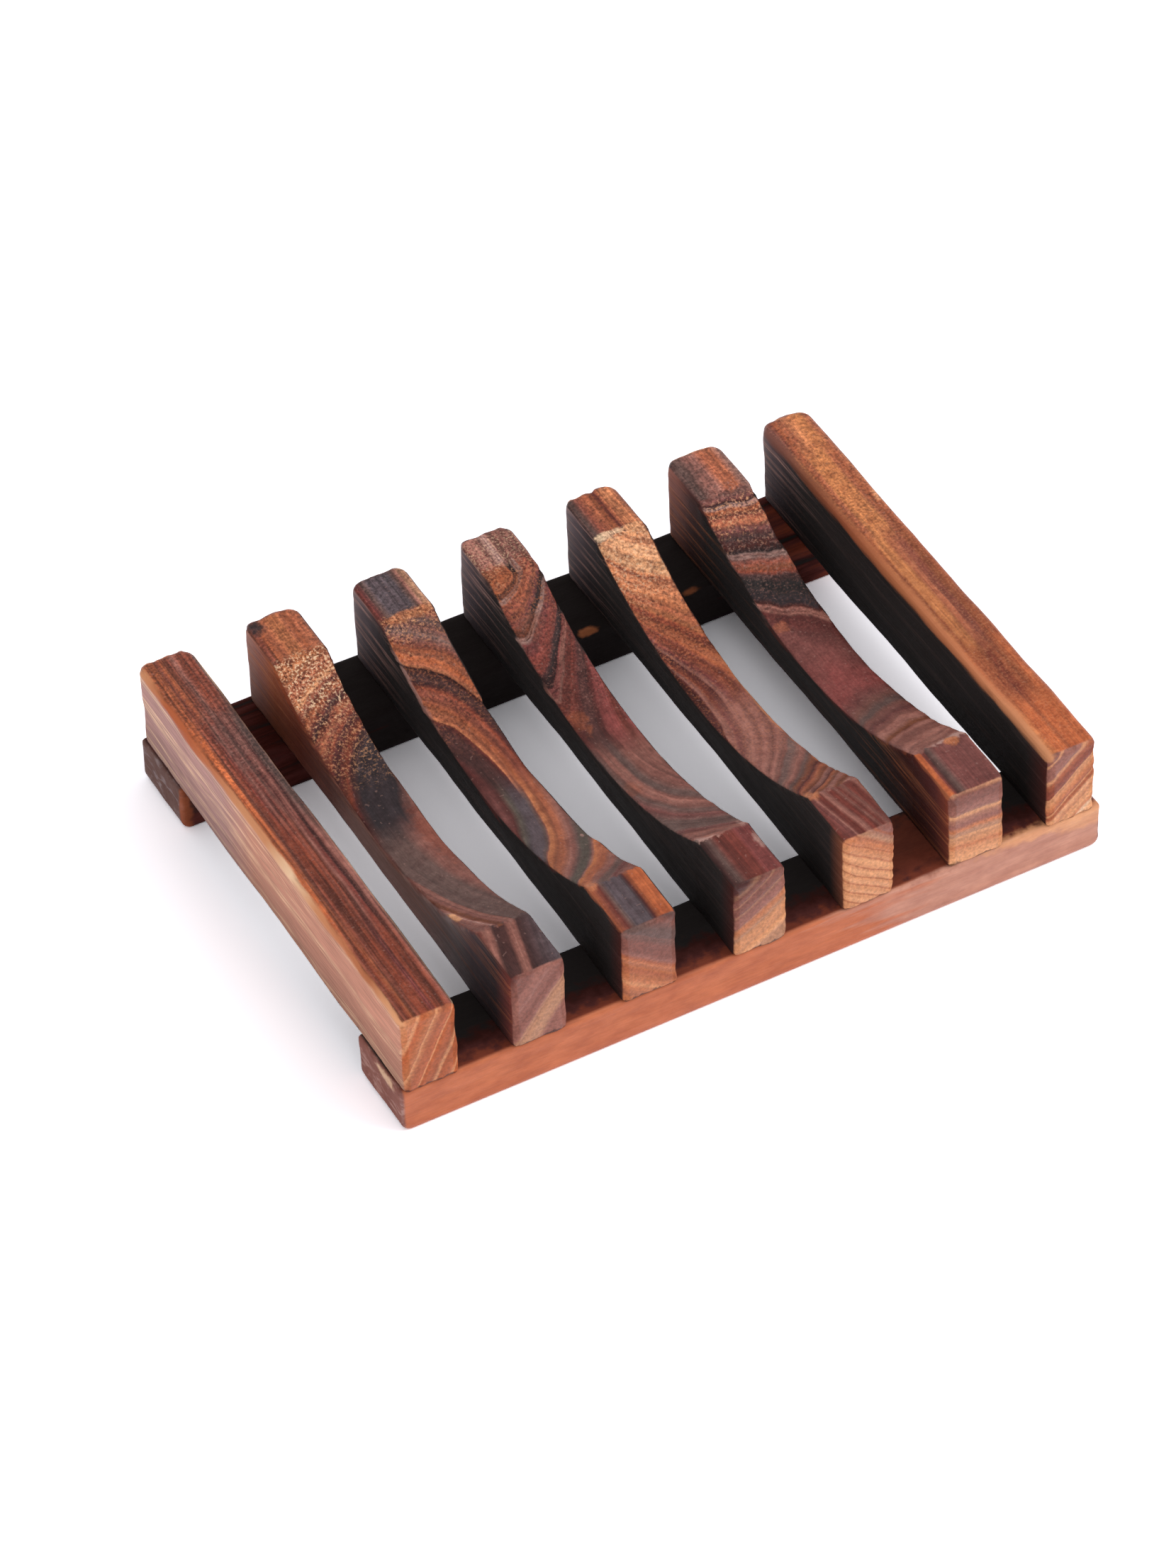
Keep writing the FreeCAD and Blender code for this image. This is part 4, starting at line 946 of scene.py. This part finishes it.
def make_slat(node, sizes):
    """Shapes one slat from a block: upright corners, lower edges, scoop, then the brushed skin."""
    low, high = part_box(node)
    middle = (low + high) / 2
    piece = block(f"brushed_{node}", low, high)
    round_edges(piece, sizes.rear_corner,
                lambda a, b: a.y > middle.y and b.y > middle.y and abs(a.z - b.z) > MM)
    round_edges(piece, sizes.front_corner,
                lambda a, b: a.y < middle.y and b.y < middle.y and abs(a.z - b.z) > MM)
    round_edges(piece, sizes.under_round, lambda a, b: a.z < middle.z and b.z < middle.z)
    if node in SCOOPED_SLATS:
        cut_scoop(piece, low, high, sizes)
    brush_skin(piece, node, sizes.top_round, slat_origin(low, high, sizes), sizes)
    finish_piece(piece, node, slat_material(node, sizes))


class SOAPDISH_OT_side_slats(bpy.types.Operator):
    """Model the two straight side slats"""

    bl_idname = "soapdish.side_slats"
    bl_label = "Side Slats"
    bl_options = {"REGISTER", "UNDO"}

    def execute(self, context):
        for node in SIDE_SLATS:
            make_slat(node, context.scene.soap_dish_sizes)
        return {"FINISHED"}


class SOAPDISH_OT_scooped_slats(bpy.types.Operator):
    """Model the scooped slats that the soap lies on"""

    bl_idname = "soapdish.scooped_slats"
    bl_label = "Scooped Slats"
    bl_options = {"REGISTER", "UNDO"}

    def execute(self, context):
        for node in SCOOPED_SLATS:
            make_slat(node, context.scene.soap_dish_sizes)
        return {"FINISHED"}


class SOAPDISH_OT_rails(bpy.types.Operator):
    """Model the two rails under the slats"""

    bl_idname = "soapdish.rails"
    bl_label = "Rails"
    bl_options = {"REGISTER", "UNDO"}

    def execute(self, context):
        sizes = context.scene.soap_dish_sizes
        for node in RAILS:
            low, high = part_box(node)
            piece = block(f"brushed_{node}", low, high)
            round_edges(piece, sizes.foot_round,
                        lambda a, b: a.z + b.z < low.z + high.z and abs(a.x - b.x) < MM)
            brush_skin(piece, node, RAIL_ROUND * sizes.top_round, (low + high) / 2, sizes)
            finish_piece(piece, node, rail_material(node))
        return {"FINISHED"}


class SOAPDISH_OT_brads(bpy.types.Operator):
    """Give the steel brads their finish"""

    bl_idname = "soapdish.brads"
    bl_label = "Brads"
    bl_options = {"REGISTER", "UNDO"}

    def execute(self, context):
        # Drawn steel wire: fine marks along the shank break up its shine.
        material, tree = new_material("drawn_steel_wire")
        position = add(tree, "ShaderNodeTexCoord", out="Object")
        fine = add(tree, VECTOR, {0: position, 1: (6 / MM, 6 / MM, 0.5 / MM)}, operation="MULTIPLY")
        draw = add(tree, NOISE, {"Vector": fine, "Scale": 1.0, "Detail": 2.0})
        gloss = add(tree, RANGE, {0: draw, 3: 0.25, 4: 0.55})
        colour = context.scene.soap_dish_finish.steel
        shader = add(tree, "ShaderNodeBsdfPrincipled",
                     {"Base Color": (*colour, 1.0), "Metallic": 1.0, "Roughness": gloss})
        add(tree, "ShaderNodeOutputMaterial", {0: shader})
        for node in BRADS:
            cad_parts[node].data.materials.clear()
            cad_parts[node].data.materials.append(material)
        return {"FINISHED"}


class SOAPDISH_OT_stage(bpy.types.Operator):
    """Set up the pale floor, the soft light and the camera"""

    bl_idname = "soapdish.stage"
    bl_label = "Stage"
    bl_options = {"REGISTER", "UNDO"}

    def execute(self, context):
        bpy.ops.object.select_all(action="DESELECT")
        bpy.ops.mesh.primitive_plane_add(size=4.0)
        floor = context.object
        floor.name = "floor"
        material, tree = new_material("pale_floor")
        tint = context.scene.soap_dish_finish.floor
        # Only what the camera sees of the floor, straight, mirrored or through another thing, is paler;
        # the dish is lit by the plain colour.
        paler = [FLOOR_SEEN * part for part in tint]
        seen = 0.0
        for ray in ("Is Camera Ray", "Is Glossy Ray", "Is Transmission Ray"):
            path = add(tree, "ShaderNodeLightPath", out=ray)
            seen = add(tree, MATH, {0: seen, 1: path}, operation="MAXIMUM")
        white = add(tree, MIX, {0: seen, 6: (*tint, 1.0), 7: (*paler, 1.0)}, **COLOURS)
        shader = add(tree, "ShaderNodeBsdfDiffuse", {0: white})
        add(tree, "ShaderNodeOutputMaterial", {0: shader})
        floor.data.materials.append(material)

        world = bpy.data.worlds.new("studio")
        context.scene.world = world
        world.use_nodes = True
        world.node_tree.nodes.clear()
        glow = add(world.node_tree, "ShaderNodeBackground", {0: (1.0, 1.0, 1.0, 1.0), 1: WORLD_STRENGTH})
        add(world.node_tree, "ShaderNodeOutputWorld", {0: glow})

        for name, place, power in LAMPS:
            turn = Vector(place).to_track_quat("Z", "Y").to_euler()
            bpy.ops.object.light_add(type="AREA", location=place, rotation=turn)
            lamp = context.object
            lamp.name = name
            lamp.data.size = LAMP_SIZE
            lamp.data.energy = power

        azimuth, elevation, roll = (math.radians(angle) for angle in CAMERA_ANGLES)
        back = Vector((math.sin(azimuth) * math.cos(elevation), -math.cos(azimuth) * math.cos(elevation),
                       math.sin(elevation)))
        level = Vector((math.cos(azimuth), math.sin(azimuth), 0.0))
        upright = back.cross(level)
        right = math.cos(roll) * level + math.sin(roll) * upright
        up = math.cos(roll) * upright - math.sin(roll) * level
        turn = Matrix((right, up, back)).transposed().to_euler()
        bpy.ops.object.camera_add(location=CAMERA_DISTANCE * back, rotation=turn)
        camera = context.object
        camera.name = "camera"
        camera.data.sensor_width = CAMERA_SENSOR
        camera.data.lens = CAMERA_LENS
        camera.data.shift_x, camera.data.shift_y = CAMERA_SHIFT
        camera.data.clip_start = 0.01
        context.scene.camera = camera
        context.scene.view_settings.view_transform = "Standard"
        return {"FINISHED"}


class SOAPDISH_PT_panel(bpy.types.Panel):
    """The steps of the soap dish"""

    bl_idname = "SOAPDISH_PT_panel"
    bl_label = "Soap Dish"
    bl_space_type = "VIEW_3D"
    bl_region_type = "UI"
    bl_category = "Soap Dish"

    def draw(self, context):
        layout = self.layout
        for group in (context.scene.soap_dish_sizes, context.scene.soap_dish_finish):
            for name in group.__annotations__:
                layout.prop(group, name)
        for operator in OPERATORS:
            layout.operator(operator.bl_idname)


OPERATORS = (SOAPDISH_OT_side_slats, SOAPDISH_OT_scooped_slats, SOAPDISH_OT_rails, SOAPDISH_OT_brads,
             SOAPDISH_OT_stage)
CLASSES = (SoapDishSizes, SoapDishFinish, *OPERATORS, SOAPDISH_PT_panel)


def register():
    for cls in CLASSES:
        bpy.utils.register_class(cls)
    bpy.types.Scene.soap_dish_sizes = PointerProperty(type=SoapDishSizes)
    bpy.types.Scene.soap_dish_finish = PointerProperty(type=SoapDishFinish)


def unregister():
    del bpy.types.Scene.soap_dish_finish
    del bpy.types.Scene.soap_dish_sizes
    for cls in reversed(CLASSES):
        bpy.utils.unregister_class(cls)


def main():
    register()
    bpy.ops.soapdish.side_slats()
    bpy.ops.soapdish.scooped_slats()
    bpy.ops.soapdish.rails()
    bpy.ops.soapdish.brads()
    bpy.ops.soapdish.stage()


if __name__ == "__main__":
    main()
